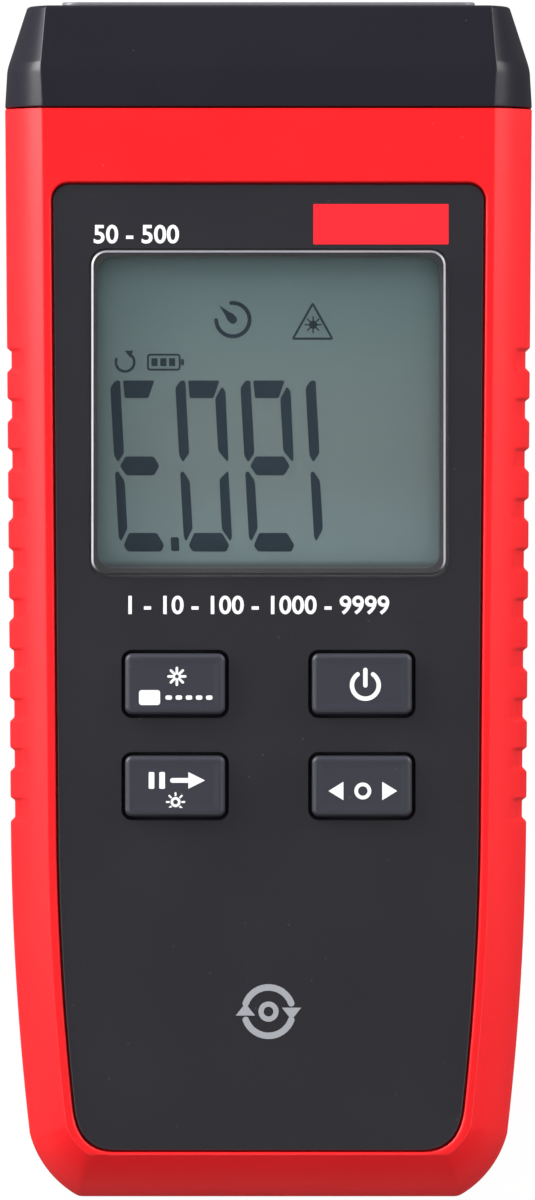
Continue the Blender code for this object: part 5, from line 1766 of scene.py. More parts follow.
    def make_optics(self, finishes: Finishes) -> None:
        """The laser's barrel and the receiver's tube, with their domed lenses."""
        barrel = [(0, 0), (3.7, 0), (4, 0.3), (4, 11.0), (3.8, 11.15), (3.8, 11.35), (4, 11.5)]
        barrel += [(4, 14.8), (3.8, 15), (3.25, 15), (3, 14.6), (3, 10.5), (0, 10.5)]
        tube = [(3.2, 0), (6.6, 0), (6.8, 0.2), (6.8, 12.2), (6.6, 12.4), (6.2, 12.4), (6.0, 12.2)]
        tube += [(6.0, 7.8), (5.2, 7.8), (4.9, 7.0), (4.9, 6.6), (4.5, 6.2), (4.5, 5.8), (3.2, 4.5), (3.2, 0)]
        laser_dome = self.dome(2.7 * MM, 1.0 * MM, 1.0 * MM)
        receiver_dome = self.dome(5.7 * MM, 1.2 * MM, 1.1 * MM)
        pieces = (
            ("laser_module", "laser_barrel", metres(barrel), -self.optic_x, 48, "brass", "brass"),
            ("laser_optic", "laser_lens", laser_dome, -self.optic_x, 48, "optic", "optical_glass"),
            ("receiver_barrel", "receiver_tube", metres(tube), self.optic_x, 56, "black", "black_resin"),
            ("receiver_optic", "receiver_lens", receiver_dome, self.optic_x, 56, "optic", "optical_glass"),
        )
        for name, node, profile, x, steps, finish, slot in pieces:
            foot = Vector((x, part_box(node)[0].y, self.optic_z))
            piece = turned(name, profile, foot, Vector((0, 1, 0)), steps)
            install(piece, finishes[finish], "case", [node])

    @staticmethod
    def dome(radius: float, rim: float, rise: float, steps: int = 10) -> list[Point]:
        """Turning profile of a lens with a flat back, a plain rim and a domed front."""
        sphere = (radius**2 + rise**2) / (2 * rise)
        end = math.asin(radius / sphere)
        profile = [(0.0, 0.0), (radius, 0.0), (radius, rim)]
        for step in range(1, steps):
            angle = end * (1 - step / steps)
            profile.append((sphere * math.sin(angle), rim + rise - sphere * (1 - math.cos(angle))))
        return [*profile, (0.0, rim + rise)]

    def make_board(self, finishes: Finishes, landings: Sequence[Point]) -> None:
        """Pins of the processor, small chip parts and solder on the back of the board.

        Args:
            finishes: the materials by name.
            landings: where leads land.
        """
        steel = finishes["steel"]
        middle = middle_of("processor_chip")
        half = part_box("processor_chip")[1].x - middle.x
        reach = self.board_back - middle.z
        gull = [(-0.05, 0), (0.5, 0), (0.75, 0.85), (1.2, 0.85)]
        gull += [(1.2, 1.0), (0.65, 1.0), (0.4, 0.15), (-0.05, 0.15)]
        sides = []
        for side in range(4):
            pin = prism("pin", [(x * MM, y * reach) for x, y in gull], (-0.15 * MM, 0.15 * MM))
            pin.data.transform(Matrix.Rotation(math.pi / 2, 4, "X"))
            turn = side * math.pi / 2
            out = Vector((math.cos(turn), math.sin(turn), 0)) * half
            along = Vector((-math.sin(turn), math.cos(turn), 0)) * self.pin_pitch
            places = [middle + out + along * (i - (self.pin_count - 1) / 2) for i in range(self.pin_count)]
            sides.append(self.scatter(f"pins_{side}", pin, places, steel, turn))
        install(join("processor_pins", sides), steel)

        spots = self.part_places()
        z = (self.board_back - 0.55 * MM, self.board_back)
        reach = self.pads[0] * 0.7
        body = block("body", (-reach, reach), (-self.pads[1], self.pads[1]), z)
        at_board = [(x, y, 0.0) for x, y in spots]
        resin = finishes["resin"]
        install(self.scatter("chip_parts", body, at_board, resin), resin)
        z = (z[0] + 0.03 * MM, z[1])
        across = (-self.pads[1] * 0.95, self.pads[1] * 0.95)
        ends = []
        for sign, x in ((-1, (-self.pads[0], -reach)), (1, (reach, self.pads[0]))):
            ends.append(self.scatter(f"ends_{sign}", block("end", x, across, z), at_board, steel))
        install(join("chip_part_ends", ends), steel)

        bead = metres([(0, -0.02), (0.95, -0.02), (0.8, 0.2), (0.5, 0.45), (0, 0.55)])
        drop = turned("bead", bead, Vector(), Vector((0, 0, -1)), 20)
        beads = self.scatter("lead_solder", drop, [(x, y, self.board_back) for x, y in landings], steel)
        install(beads, steel, "case", (), 60)

    def part_places(self) -> list[Point]:
        """Places of the small parts, on a grid that keeps clear of the chip, the crystal and the screws."""
        kept = []
        for column in range(-4, 5):
            for row in range(12):
                x = column * 3.8 * MM
                y = (3.5 + row * 3.4) * MM
                near_chip = abs(x) < 8.5 * MM and 13.0 * MM < y < 29.5 * MM
                near_crystal = 5.0 * MM < x < 13.0 * MM and 15.0 * MM < y < 27.5 * MM
                near_leads = y > 40.0 * MM and 6.0 * MM < abs(x) < 16.0 * MM
                if not (near_chip or near_crystal or near_leads or (3 * column + 5 * row) % 4 == 0):
                    kept.append((x, y))
        return kept

    def build(self, finishes: Finishes) -> None:
        """Makes and dresses every inner piece.

        Args:
            finishes: the materials by name.
        """
        steel = finishes["steel"]
        self.make_screws(steel)
        for number in (1, 2, 3):
            cell = self.make_cell(number, finishes)
            install(cell, finishes["sleeve"], "case", [f"cell_{number}"], 35)
        self.make_springs(steel)
        self.make_contacts(steel)
        self.make_optics(finishes)
        self.make_board(finishes, self.make_leads(finishes))
        keys = ("power", "laser", "mode", "hold")
        contacts = ("positive", "negative", "bridge_bottom", "bridge_top")
        kept = {
            "guide": ["backlight_guide"],
            "zebra": ["zebra_strip"],
            "board": ["circuit_board"],
            "resin": ["processor_chip", "photodiode"],
            "steel": ["crystal_can", *(f"contact_{name}" for name in contacts)],
            "black": ["optics_block", *(f"switch_{name}" for name in keys)],
            "white": ["lcd_holder", *(f"plunger_{name}" for name in keys)],
        }
        for finish, nodes in kept.items():
            for node in nodes:
                self.carry(node, finishes[finish])


class Graph:
    """Adds nodes to one material or group."""

    def __init__(self, tree: Tree) -> None:
        """Keeps the tree."""
        self.tree = tree

    def fill(self, node: Node, inputs: dict) -> Node:
        """Links or sets a node's inputs, given by socket name or number."""
        for key, value in inputs.items():
            if isinstance(value, Socket):
                self.tree.links.new(value, node.inputs[key])
            else:
                node.inputs[key].default_value = value
        return node

    def dress(self, inputs: dict) -> Socket:
        """Fills a material's Principled shader and gives its output."""
        return self.fill(self.tree.nodes["Principled BSDF"], inputs).outputs[0]

    def show(self, surface: Socket) -> None:
        """Gives a material its surface in place of the Principled shader."""
        self.fill(self.tree.nodes["Material Output"], {"Surface": surface})

    def node(self, kind: str, inputs: dict | None = None, **settings: object) -> Node:
        """Adds a node.

        Args:
            kind: the node's type.
            inputs: values or sockets by socket name or number.
            settings: the node's own settings.

        Returns:
            The node.
        """
        made = self.tree.nodes.new(kind)
        for name, value in settings.items():
            setattr(made, name, value)
        return self.fill(made, inputs or {})

    def maths(self, operation: str, *values: object) -> Socket:
        """Result of a Math node on values or sockets."""
        return self.node("ShaderNodeMath", dict(enumerate(values)), operation=operation).outputs[0]

    def blend(self, share: object, a: object, b: object) -> Socket:
        """Mix of two colours, from a at 0 to b at 1."""
        first, second = [value if isinstance(value, Socket) else (*value, 1.0) for value in (a, b)]
        mixer = self.node("ShaderNodeMix", {0: share, 6: first, 7: second}, data_type="RGBA")
        return mixer.outputs[2]

    def bump(self, height: Socket, distance: float, strength: float) -> Socket:
        """Normal bent by a height."""
        given = {"Height": height, "Distance": distance, "Strength": strength}
        return self.node("ShaderNodeBump", given).outputs[0]

    def place(self, offset: Sequence[float] = (0, 0, 0), stretch: Sequence[float] = (1, 1, 1)) -> Socket:
        """Object coordinates, moved and stretched."""
        coordinates = self.node("ShaderNodeTexCoord").outputs["Object"]
        mapped = self.node("ShaderNodeMapping", {"Vector": coordinates, "Location": offset, "Scale": stretch})
        return mapped.outputs[0]

    def ramp(self, share: object, low: float, high: float) -> Socket:
        """A share that rises smoothly from 0 at low to 1 at high."""
        values = {"Value": share, "From Min": low, "From Max": high}
        return self.node("ShaderNodeMapRange", values, interpolation_type="SMOOTHSTEP").outputs[0]


class Effects:
    """Shader groups that several finishes share."""

    def __init__(self) -> None:
        """Builds each group once."""
        self.grain = self.make_grain()
        self.drift = self.make_drift()
        self.handling = self.make_handling()
        self.wear_and_sheen = self.make_wear_and_sheen()

    def new_group(self, name: str, inputs: dict[str, tuple[str, object]], outputs: dict[str, str]) -> tuple:
        """Starts a group.

        Args:
            name: its name.
            inputs: type and default of each input.
            outputs: type of each output.

        Returns:
            The group, its graph, its input node and its output node.
        """
        tree = bpy.data.node_groups.new(name, "ShaderNodeTree")
        for socket, (kind, default) in inputs.items():
            made = tree.interface.new_socket(socket, in_out="INPUT", socket_type=f"NodeSocket{kind}")
            made.default_value = default
        for socket, kind in outputs.items():
            tree.interface.new_socket(socket, in_out="OUTPUT", socket_type=f"NodeSocket{kind}")
        graph = Graph(tree)
        return tree, graph, graph.node("NodeGroupInput"), graph.node("NodeGroupOutput")

    def make_grain(self) -> Tree:
        """Fine spark-eroded grain of a mould, as a height."""
        tree, graph, given, out = self.new_group(
            "Mould grain", {"Scale": ("Float", 2600.0)}, {"Height": "Float"}
        )
        place = graph.place()
        fine = graph.node("ShaderNodeTexNoise", {"Vector": place, "Scale": given.outputs[0], "Detail": 3.0})
        cells = graph.node("ShaderNodeTexVoronoi", {"Vector": place, "Scale": given.outputs[0]})
        height = graph.maths("MULTIPLY_ADD", cells.outputs["Distance"], 0.35, fine.outputs["Fac"])
        graph.fill(out, {0: height})
        return tree

    def make_drift(self) -> Tree:
        """Slow change of a colour over the surface."""
        inputs = {"Color": ("Color", (1, 1, 1, 1)), "Amount": ("Float", 0.05), "Scale": ("Float", 30.0)}
        tree, graph, given, out = self.new_group("Colour drift", inputs, {"Color": "Color"})
        values = {"Vector": graph.place(), "Scale": given.outputs[2], "Detail": 4.0}
        noise = graph.node("ShaderNodeTexNoise", values)
        swing = graph.maths("SUBTRACT", noise.outputs["Fac"], 0.5)
        value = graph.maths("MULTIPLY_ADD", swing, given.outputs[1], 1.0)
        tinted = graph.node("ShaderNodeHueSaturation", {"Value": value, "Color": given.outputs[0]})
        graph.fill(out, {0: tinted.outputs[0]})
        return tree

    def make_handling(self) -> Tree:
        """Roughness with faint smudges and dust specks."""
        inputs = {"Roughness": ("Float", 0.4), "Amount": ("Float", 0.1)}
        tree, graph, given, out = self.new_group("Handling", inputs, {"Roughness": "Float", "Dust": "Float"})
        smudge = graph.node("ShaderNodeTexNoise", {"Vector": graph.place(), "Scale": 90.0, "Detail": 5.0})
        swing = graph.maths("SUBTRACT", smudge.outputs["Fac"], 0.5)
        roughness = graph.maths("MULTIPLY_ADD", swing, given.outputs[1], given.outputs[0])
        specks = graph.node("ShaderNodeTexVoronoi", {"Vector": graph.place(), "Scale": 420.0})
        dust = graph.ramp(specks.outputs["Distance"], 0.06, 0.02)
        graph.fill(out, {0: roughness, 1: graph.maths("MULTIPLY", dust, given.outputs[1])})
        return tree

    def make_wear_and_sheen(self) -> Tree:
        """Mask of the edges that hands and tables rub, where the colour is lightened as wear and as a painted
        sheen.
        """
        tree, graph, given, out = self.new_group("Edge wear", {"Amount": ("Float", 0.3)}, {"Mask": "Float"})
        edge = graph.ramp(graph.node("ShaderNodeNewGeometry").outputs["Pointiness"], 0.53, 0.62)
        patches = graph.node("ShaderNodeTexNoise", {"Vector": graph.place(), "Scale": 160.0, "Detail": 3.0})
        broken = graph.ramp(patches.outputs["Fac"], 0.4, 0.65)
        mask = graph.maths("MULTIPLY", graph.maths("MULTIPLY", edge, broken), given.outputs[0])
        graph.fill(out, {0: mask})
        return tree

    def drifting(self, graph: Graph, colour: object, amount: float, scale: float) -> Socket:
        """A colour that changes slowly over the surface."""
        base = colour if isinstance(colour, Socket) else (*colour, 1.0)
        given = {"Color": base, "Amount": amount, "Scale": scale}
        return graph.node("ShaderNodeGroup", given, node_tree=self.drift).outputs[0]

    def handled(self, graph: Graph, roughness: float, amount: float) -> tuple[Socket, Socket]:
        """Roughness with smudges, and the mask of the dust."""
        given = {"Roughness": roughness, "Amount": amount}
        made = graph.node("ShaderNodeGroup", given, node_tree=self.handling)
        return made.outputs[0], made.outputs[1]


def new_material(name: str, base: Colour) -> tuple[Material, Graph]:
    """Starts a material.

    Args:
        name: its name.
        base: its viewport colour.

    Returns:
        The material and its graph.
    """
    made = bpy.data.materials.new(name)
    made.use_nodes = True
    made.diffuse_color = (*base, 1.0)
    return made, Graph(made.node_tree)


@dataclass(frozen=True)
class Moulded:
    """Injection-moulded plastic: grain, slow colour drift, smudges, and edges lightened as rubbed wear and
    painted sheen.
    """

    name: str
    colour: Colour
    roughness: float = 0.42
    specular: float = 0.5
    grain_scale: float = 2600.0
    grain_height: float = 0.004 * MM
    drift: float = 0.06
    handling: float = 0.08
    wear_and_sheen: float = 0.25
    wear_and_sheen_lift: float = 1.35
    coat: float = 0.0
    dust: Colour = (0.55, 0.53, 0.5)

    def make(self, effects: Effects) -> Material:
        """Builds the material."""
        made, graph = new_material(self.name, self.colour)
        drift = effects.drifting(graph, self.colour, self.drift, 45.0)
        # Edges are lightened towards this colour: rubbed wear and a painted sheen.
        worn_and_sheen = tuple(min(1.0, part * self.wear_and_sheen_lift + 0.01) for part in self.colour)
        mask = graph.node("ShaderNodeGroup", {"Amount": self.wear_and_sheen}, node_tree=effects.wear_and_sheen).outputs[0]
        roughness, dust = effects.handled(graph, self.roughness, self.handling)
        grain = graph.node("ShaderNodeGroup", {"Scale": self.grain_scale}, node_tree=effects.grain).outputs[0]
        look = {
            "Base Color": graph.blend(dust, graph.blend(mask, drift, worn_and_sheen), self.dust),
            "Roughness": roughness,
            "Normal": graph.bump(grain, self.grain_height, 0.6),
            "Specular IOR Level": self.specular,
            "Coat Weight": self.coat,
            "Coat Roughness": 0.2,
        }
        graph.dress(look)
        return made


@dataclass(frozen=True)
class Metal:
    """Plated or turned metal with fine brushing and a little tarnish."""

    name: str
    colour: Colour
    roughness: float = 0.28
    brushing: Sequence[float] = (1.0, 1.0, 1.0)

    def make(self, effects: Effects) -> Material:
        """Builds the material."""
        made, graph = new_material(self.name, self.colour)
        given = {"Vector": graph.place(stretch=self.brushing), "Scale": 5200.0, "Detail": 2.0}
        lines = graph.node("ShaderNodeTexNoise", given)
        look = {
            "Base Color": effects.drifting(graph, self.colour, 0.2, 240.0),
            "Roughness": effects.handled(graph, self.roughness, 0.2)[0],
            "Normal": graph.bump(lines.outputs["Fac"], 0.003 * MM, 0.5),
            "Metallic": 1.0,
        }
        graph.dress(look)
        return made


@dataclass(frozen=True)
class ClearSheet:
    """Clear or smoked acrylic that lets lamp light through."""

    name: str
    colour: Colour
    shadow: Colour = (0.95, 0.95, 0.95)
    roughness: float = 0.02
    transmission: float = 1.0

    def make(self, effects: Effects) -> Material:
        """Builds the material."""
        made, graph = new_material(self.name, self.colour)
        look = {
            "Base Color": effects.drifting(graph, self.colour, 0.02, 60.0),
            "Roughness": effects.handled(graph, self.roughness, 0.015)[0],
            "Transmission Weight": self.transmission,
            "IOR": 1.49,
        }
        clear = graph.node("ShaderNodeBsdfTransparent", {"Color": (*self.shadow, 1.0)})
        shadow_ray = graph.node("ShaderNodeLightPath").outputs["Is Shadow Ray"]
        mixed = graph.node("ShaderNodeMixShader", {0: shadow_ray, 1: graph.dress(look), 2: clear.outputs[0]})
        graph.show(mixed.outputs[0])
        return made


@dataclass(frozen=True)
class RimPaintedReflection:
    """The lens's chamfer, with a painted reflection: pale at the sides and the top, and painted shade at the
    foot.
    """

    name: str = "Lens rim painted reflection"
    side: Colour = (0.44, 0.44, 0.48)
    top: Colour = (0.20, 0.20, 0.22)
    foot: Colour = (0.05, 0.045, 0.05)

    def make(self, effects: Effects) -> Material:
        """Builds the material, with its painted reflection and shade taken from which way each facet faces.
        """
        made, graph = new_material(self.name, self.side)
        # Painted reflection: side-facing facets pale, top-facing facets mid, foot-facing facets dark as
        # painted shade.
        normal = graph.node("ShaderNodeNewGeometry").outputs["True Normal"]
        parts = graph.node("ShaderNodeSeparateXYZ", {0: normal})
        up = graph.ramp(parts.outputs[1], 0.3, 0.6)
        down = graph.ramp(parts.outputs[1], -0.15, -0.55)
        colour = graph.blend(down, graph.blend(up, self.side, self.top), self.foot)
        graph.dress({"Base Color": colour, "Roughness": effects.handled(graph, 0.25, 0.1)[0]})
        return made


@dataclass(frozen=True)
class LiquidCrystal:
    """Grey-green liquid crystal face with painted light and shade: darker at the top and the left, paler
    towards the foot, and a painted shadow as a dark soft border under the lens.
    """

    name: str = "Liquid crystal"
    top: Colour = (0.070, 0.106, 0.110)
    middle: Colour = (0.086, 0.110, 0.111)
    foot: Colour = (0.098, 0.134, 0.141)
    edge: Colour = (0.040, 0.050, 0.052)
    strip: Colour = (0.075, 0.068, 0.078)
    centre: Point = (0.0, 21.2 * MM)
    half: Point = (20.1 * MM, 18.4 * MM)
    strip_height: float = 0.9 * MM
    soft: float = 0.9 * MM
    side_edge: float = 0.1 * MM
    top_soft: float = 1.6 * MM
    top_edge: float = 0.2 * MM

    def make(self, effects: Effects) -> Material:
        """Builds the material."""
        made, graph = new_material(self.name, self.middle)
        place = graph.place((-self.centre[0], -self.centre[1], 0))
        parts = graph.node("ShaderNodeSeparateXYZ", {0: place})
        x = parts.outputs[0]
        y = parts.outputs[1]
        # Painted light and shade: darker towards the top and the left, paler towards the foot.
        rise = graph.ramp(y, -0.2 * self.half[1], self.half[1])
        colour = graph.blend(rise, self.middle, self.top)
        fall = graph.ramp(y, -0.3 * self.half[1], -self.half[1])
        colour = graph.blend(fall, colour, self.foot)
        left = graph.ramp(x, -0.2 * self.half[0], -1.1 * self.half[0])
        colour = graph.blend(graph.maths("MULTIPLY", left, 0.5), colour, self.top)
        # Painted shadow of the lens edge and the recess: a dark soft border at the sides, the top and above
        # the foot band.
        side = graph.maths("ABSOLUTE", x)
        side_shadow = graph.ramp(side, self.half[0] - self.soft, self.half[0] - self.side_edge)
        top_shadow = graph.ramp(y, self.half[1] - self.top_soft, self.half[1] - self.top_edge)
        strip_top = self.strip_height - self.half[1]
        foot_shadow = graph.ramp(y, self.soft + strip_top, strip_top)
        near = graph.maths("MAXIMUM", graph.maths("MAXIMUM", side_shadow, top_shadow), foot_shadow)
        colour = graph.blend(graph.maths("MULTIPLY", near, 0.85), colour, self.edge)
        strip = graph.maths("LESS_THAN", y, strip_top)
        colour = graph.blend(strip, colour, self.strip)
        look = {
            "Base Color": effects.drifting(graph, colour, 0.03, 80.0),
            "Roughness": effects.handled(graph, 0.45, 0.05)[0],
            "Specular IOR Level": 0.2,
        }
        graph.dress(look)
        return made


@dataclass(frozen=True)
class Banded:
    """A finish with bands along one axis, such as the zebra strip."""

    name: str
    first: Colour
    second: Colour
    axis: int
    start: float
    pitch: float
    share: float
    roughness: float = 0.35

    def make(self, effects: Effects) -> Material:
        """Builds the material."""
        made, graph = new_material(self.name, self.first)
        parts = graph.node("ShaderNodeSeparateXYZ", {0: graph.place()})
        along = graph.maths("SUBTRACT", parts.outputs[self.axis], self.start)
        turns = graph.maths("FRACT", graph.maths("DIVIDE", along, self.pitch))
        second = graph.maths("LESS_THAN", turns, self.share)
        colour = graph.blend(second, self.first, self.second)
        drift = effects.drifting(graph, colour, 0.08, 120.0)
        graph.dress({"Base Color": drift, "Roughness": effects.handled(graph, self.roughness, 0.1)[0]})
        return made


@dataclass(frozen=True)
class Laminate:
    """Solder mask over copper tracks."""

    name: str = "Board laminate"
    mask: Colour = (0.012, 0.11, 0.045)
    track: Colour = (0.03, 0.2, 0.09)

    def make(self, effects: Effects) -> Material:
        """Builds the material."""
        made, graph = new_material(self.name, self.mask)
        given = {
            "Vector": graph.place(),
            "Scale": 160.0,
            "Mortar Size": 0.05,
            "Color1": (0, 0, 0, 1),
            "Color2": (0, 0, 0, 1),
            "Mortar": (1, 1, 1, 1),
        }
        wide = graph.node("ShaderNodeTexBrick", given)
        noise = graph.node("ShaderNodeTexNoise", {"Vector": graph.place(), "Scale": 55.0})
        shown = graph.maths("MULTIPLY", wide.outputs["Color"], graph.ramp(noise.outputs["Fac"], 0.45, 0.5))
        look = {
            "Base Color": graph.blend(shown, self.mask, self.track),
            "Roughness": effects.handled(graph, 0.32, 0.1)[0],
            "Normal": graph.bump(shown, 0.03 * MM, 0.5),
        }
        graph.dress(look)
        return made


def make_finishes(effects: Effects) -> Finishes:
    """Builds every finish of the tachometer, by name."""
    finishes = {
        "red": Moulded("Case red", (0.80, 0.009, 0.013), 0.38, 0.34),
        "charcoal": Moulded("Cap charcoal", (0.013, 0.012, 0.018), 0.3, 0.38),
        "panel": Moulded("Panel charcoal", (0.016, 0.015, 0.020), 0.36, 0.5, drift=0.04),
        "key": Moulded("Key grey", (0.030, 0.031, 0.043), 0.42, 0.45, drift=0.03),
        "pane_edge": Moulded("Pane edge", (0.17, 0.166, 0.182), 0.3, 0.5, wear_and_sheen=0.0),
        "lens": ClearSheet("Display lens", (0.97, 0.98, 0.98)),
        "rim": RimPaintedReflection(),
        "smoke": ClearSheet("Smoked pane", (0.06, 0.05, 0.055), (0.06, 0.05, 0.055), 0.05, 0.85),
        "crystal": LiquidCrystal(),
        "segments": Moulded("Dark segments", (0.010, 0.018, 0.026), 0.5, 0.1, wear_and_sheen=0.0, drift=0.02),
        "white_ink": Moulded("White ink", (0.86, 0.86, 0.88), 0.5, 0.3, wear_and_sheen=0.0, drift=0.03),
        "grey_ink": Moulded("Grey ink", (0.33, 0.34, 0.37), 0.5, 0.3, wear_and_sheen=0.0, drift=0.03),
        "red_ink": Moulded("Red ink", (0.93, 0.016, 0.027), 0.45, 0.3, wear_and_sheen=0.0, drift=0.03),
        "guide": Moulded("Light guide", (0.72, 0.76, 0.74), 0.25, 0.5, wear_and_sheen=0.0, coat=0.3),
        "white": Moulded("White moulding", (0.72, 0.72, 0.69), 0.45),
        "black": Moulded("Black moulding", (0.018, 0.018, 0.02), 0.5),
        "resin": Moulded("Chip resin", (0.022, 0.022, 0.024), 0.55, 0.4, 4200.0),
        "steel": Metal("Plated steel", (0.66, 0.66, 0.68), 0.26, (1, 1, 0.1)),
        "brass": Metal("Turned brass", (0.74, 0.52, 0.24), 0.25, (1, 0.1, 1)),
        "optic": ClearSheet("Optical glass", (0.96, 0.98, 1.0), (0.9, 0.93, 0.95), 0.01),
        "board": Laminate(),
        "sleeve": Moulded("Cell sleeve", (0.02, 0.02, 0.024), 0.3, coat=0.4, wear_and_sheen=0.0),
        "copper": Metal("Copper print", (0.72, 0.40, 0.20), 0.3, (1, 1, 1)),
        "zebra": Banded("Zebra rubber", (0.62, 0.5, 0.47), (0.05, 0.05, 0.05), 0, 0.0, 0.5 * MM, 0.5, 0.6),
    }
    sleeves = {
        "red": (0.55, 0.02, 0.02),
        "black": (0.02, 0.02, 0.02),
        "yellow": (0.7, 0.5, 0.06),
        "grey": (0.25, 0.25, 0.27),
    }
    for tone, colour in sleeves.items():
        finishes[f"lead_{tone}"] = Moulded(f"{tone.title()} sleeve", colour, 0.4, coat=0.2, wear_and_sheen=0.0)
    return {name: finish.make(effects) for name, finish in finishes.items()}


@dataclass
class Studio:
    """White floor, plain soft light and the camera above the face."""

    floor_half: float = 1.5
    focal: float = 600.0
    frame_height: float = 136.7 * MM
    look: Point = (-0.114 * MM, -0.078 * MM)
    face_z: float = 18.6 * MM
    sensor: float = 36.0
    clip: Point = (0.1, 20.0)
    floor_gap: float = 0.05 * MM
    floor_shade: Colour = (0.8, 0.8, 0.8)
    floor_light: float = 1.03
    floor_share: float = 0.92
    # Distances over which the painted shade on the floor in reflections fades from full to none.
    painted_shade_reach: Point = (25.0 * MM, 90.0 * MM)
    horizon: float = 0.1
    zenith: float = 0.1
    past_foot: Point = (-0.6, 0.0)
    foot_level: float = 0.3
    lamps: tuple[tuple, ...] = (
        ("overhead", (0.0, 0.36, 0.36), (0.5, 0.22), 1.5, (0, 0.02, 0)),
        ("left_key", (-0.36, -0.1, 0.48), (0.3, 0.4), 0.95, (0, 0, 0.02)),
        ("right_key", (0.36, -0.1, 0.48), (0.3, 0.4), 0.8, (0, 0, 0.02)),
        ("foot_fill", (0.0, -0.42, 0.42), (0.6, 0.16), 0.7, (0, -0.05, 0.01)),
        ("left_strip", (-0.45, 0.34, 0.12), (0.62, 0.24), 6.6, (0, 0.06, 0.02)),
        ("right_strip", (0.45, 0.34, 0.12), (0.62, 0.24), 2.9, (0, 0.06, 0.02)),
    )

    def make_camera(self) -> None:
        """A long lens straight above the face, so that the frame is the photograph's."""
        camera = bpy.data.cameras.new("camera")
        camera.lens = self.focal
        camera.sensor_width = self.sensor
        camera.clip_start, camera.clip_end = self.clip
        made = added("camera", camera)
        distance = self.focal / self.sensor * self.frame_height
        made.location = (*self.look, self.face_z + distance)
        bpy.context.scene.camera = made

    def make_floor(self) -> None:
        """The floor under the back, white to the camera and in reflections, with the object's shadow, and
        with painted shade near the object in reflections.
        """
        mesh = bpy.data.meshes.new("floor")
        half = self.floor_half
        corners = [(-half, -half, 0), (half, -half, 0), (half, half, 0), (-half, half, 0)]
        mesh.from_pydata(corners, [], [(0, 1, 2, 3)])
        floor = added("floor", mesh)
        floor.location.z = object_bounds()[0].z - self.floor_gap
        made, graph = new_material("Floor", self.floor_shade)
        path = graph.node("ShaderNodeLightPath")
        shown = graph.maths("ADD", path.outputs["Is Camera Ray"], path.outputs["Is Transmission Ray"])
        shown = graph.maths("MINIMUM", graph.maths("ADD", shown, path.outputs["Is Glossy Ray"]), 1.0)
        glossy = path.outputs["Is Glossy Ray"]
        # Glossy rays see the floor with painted shade near the object.
        strength = graph.maths("MULTIPLY_ADD", glossy, self.near_shade(graph), self.floor_light)
        white = graph.node("ShaderNodeEmission", {"Color": (1, 1, 1, 1), "Strength": strength})
        matt = graph.node("ShaderNodeBsdfDiffuse", {"Color": (*self.floor_shade, 1)})
        share = graph.maths("MULTIPLY", shown, self.floor_share)
        lit = graph.node("ShaderNodeMixShader", {0: share, 1: matt.outputs[0], 2: white.outputs[0]})
        clear = graph.node("ShaderNodeBsdfTransparent")
        back = graph.node("ShaderNodeNewGeometry").outputs["Backfacing"]
        mixed = graph.node("ShaderNodeMixShader", {0: back, 1: lit.outputs[0], 2: clear.outputs[0]})
        graph.show(mixed.outputs[0])
        mesh.materials.append(made)
        floor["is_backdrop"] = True

    def near_shade(self, graph: Graph) -> Socket:
        """How much darker reflections show the floor as painted shade, from -1 at the object to 0 past its
        reach.

        Args:
            graph: the floor's nodes.

        Returns:
            The change of strength.
        """
        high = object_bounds()[1]
        place = graph.node("ShaderNodeTexCoord").outputs["Object"]
        parts = graph.node("ShaderNodeSeparateXYZ", {0: place})
        past_side = graph.maths("SUBTRACT", graph.maths("ABSOLUTE", parts.outputs[0]), high.x)
        past_end = graph.maths("SUBTRACT", graph.maths("ABSOLUTE", parts.outputs[1]), high.y)
        away = graph.maths("MAXIMUM", past_side, past_end)
        near = graph.ramp(away, self.painted_shade_reach[1], self.painted_shade_reach[0])
        return graph.maths("MULTIPLY", near, -1.0)

    def make_world(self) -> None:
        """Surroundings that are pale at the horizon and dark above and past the foot, white to the camera."""
        world = bpy.data.worlds.new("surroundings")
        bpy.context.scene.world = world
        world.use_nodes = True
        graph = Graph(world.node_tree)
        shade_node = world.node_tree.nodes["Background"]
        output = world.node_tree.nodes["World Output"]
        direction = graph.node("ShaderNodeTexCoord").outputs["Generated"]
        parts = graph.node("ShaderNodeSeparateXYZ", {0: direction})
        low = graph.ramp(parts.outputs[2], 0.85, 0.2)
        above_foot = graph.ramp(parts.outputs[1], *self.past_foot)
        share = graph.maths("MULTIPLY_ADD", above_foot, 1 - self.foot_level, self.foot_level)
        level = graph.maths("MULTIPLY_ADD", low, self.horizon, self.zenith)
        graph.fill(shade_node, {"Color": (1, 1, 1, 1), "Strength": graph.maths("MULTIPLY", level, share)})
        white = graph.node("ShaderNodeBackground", {"Color": (1, 1, 1, 1), "Strength": 1.0})
        seen = graph.node("ShaderNodeLightPath").outputs["Is Camera Ray"]
        mixed = graph.node("ShaderNodeMixShader", {0: seen, 1: shade_node.outputs[0], 2: white.outputs[0]})
        graph.fill(output, {"Surface": mixed.outputs[0]})

    def lamp(self, name: str, place: Place, size: Point, power: float, aim: Place) -> None:
        """A soft box.

        Args:
            name: its name.
            place: where it stands.
            size: width and height.
            power: its power in watts.
            aim: the point that it faces.
        """
        light = bpy.data.lights.new(name, "AREA")
        light.shape = "RECTANGLE"
        light.size, light.size_y = size
        light.energy = power
        made = added(name, light)
        made.location = place
        made.visible_camera = False
        made.visible_glossy = name != "overhead"
        made.rotation_euler = (Vector(aim) - Vector(place)).to_track_quat("-Z", "Y").to_euler()

    def build(self) -> None:
        """Makes the camera, the floor, the surroundings and the lamps."""
        self.make_camera()
        self.make_floor()
        self.make_world()
        for lamp in self.lamps:
            self.lamp(*lamp)
        bpy.context.scene.view_settings.view_transform = "Standard"


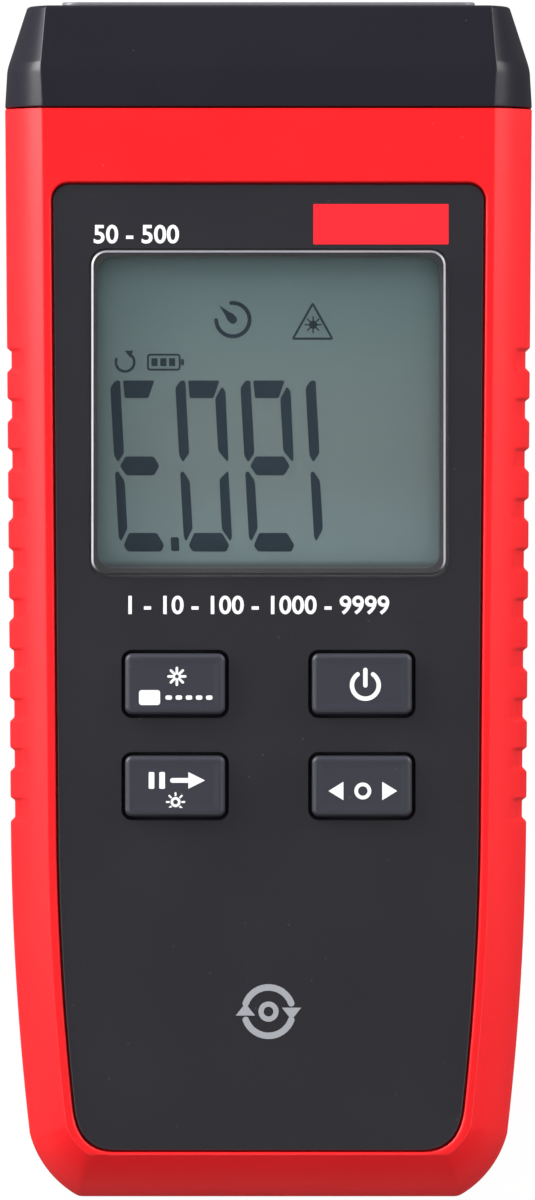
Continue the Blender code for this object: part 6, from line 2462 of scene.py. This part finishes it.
def main() -> None:
    """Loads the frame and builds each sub-assembly in order."""
    logging.basicConfig(level=logging.INFO, format="%(name)s: %(message)s")
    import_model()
    finishes = make_finishes(Effects())
    form = CaseForm.from_frame()
    display_y = middle_of("display_window").y
    keys = KeyGrid()
    Housing(form, keys, display_y).build(finishes)
    Display(display_y).build(finishes)
    FacePrint().build(finishes)
    KeyPad(keys).build(finishes)
    InnerWorks().build(finishes)
    Studio().build()


if __name__ == "__main__":
    main()
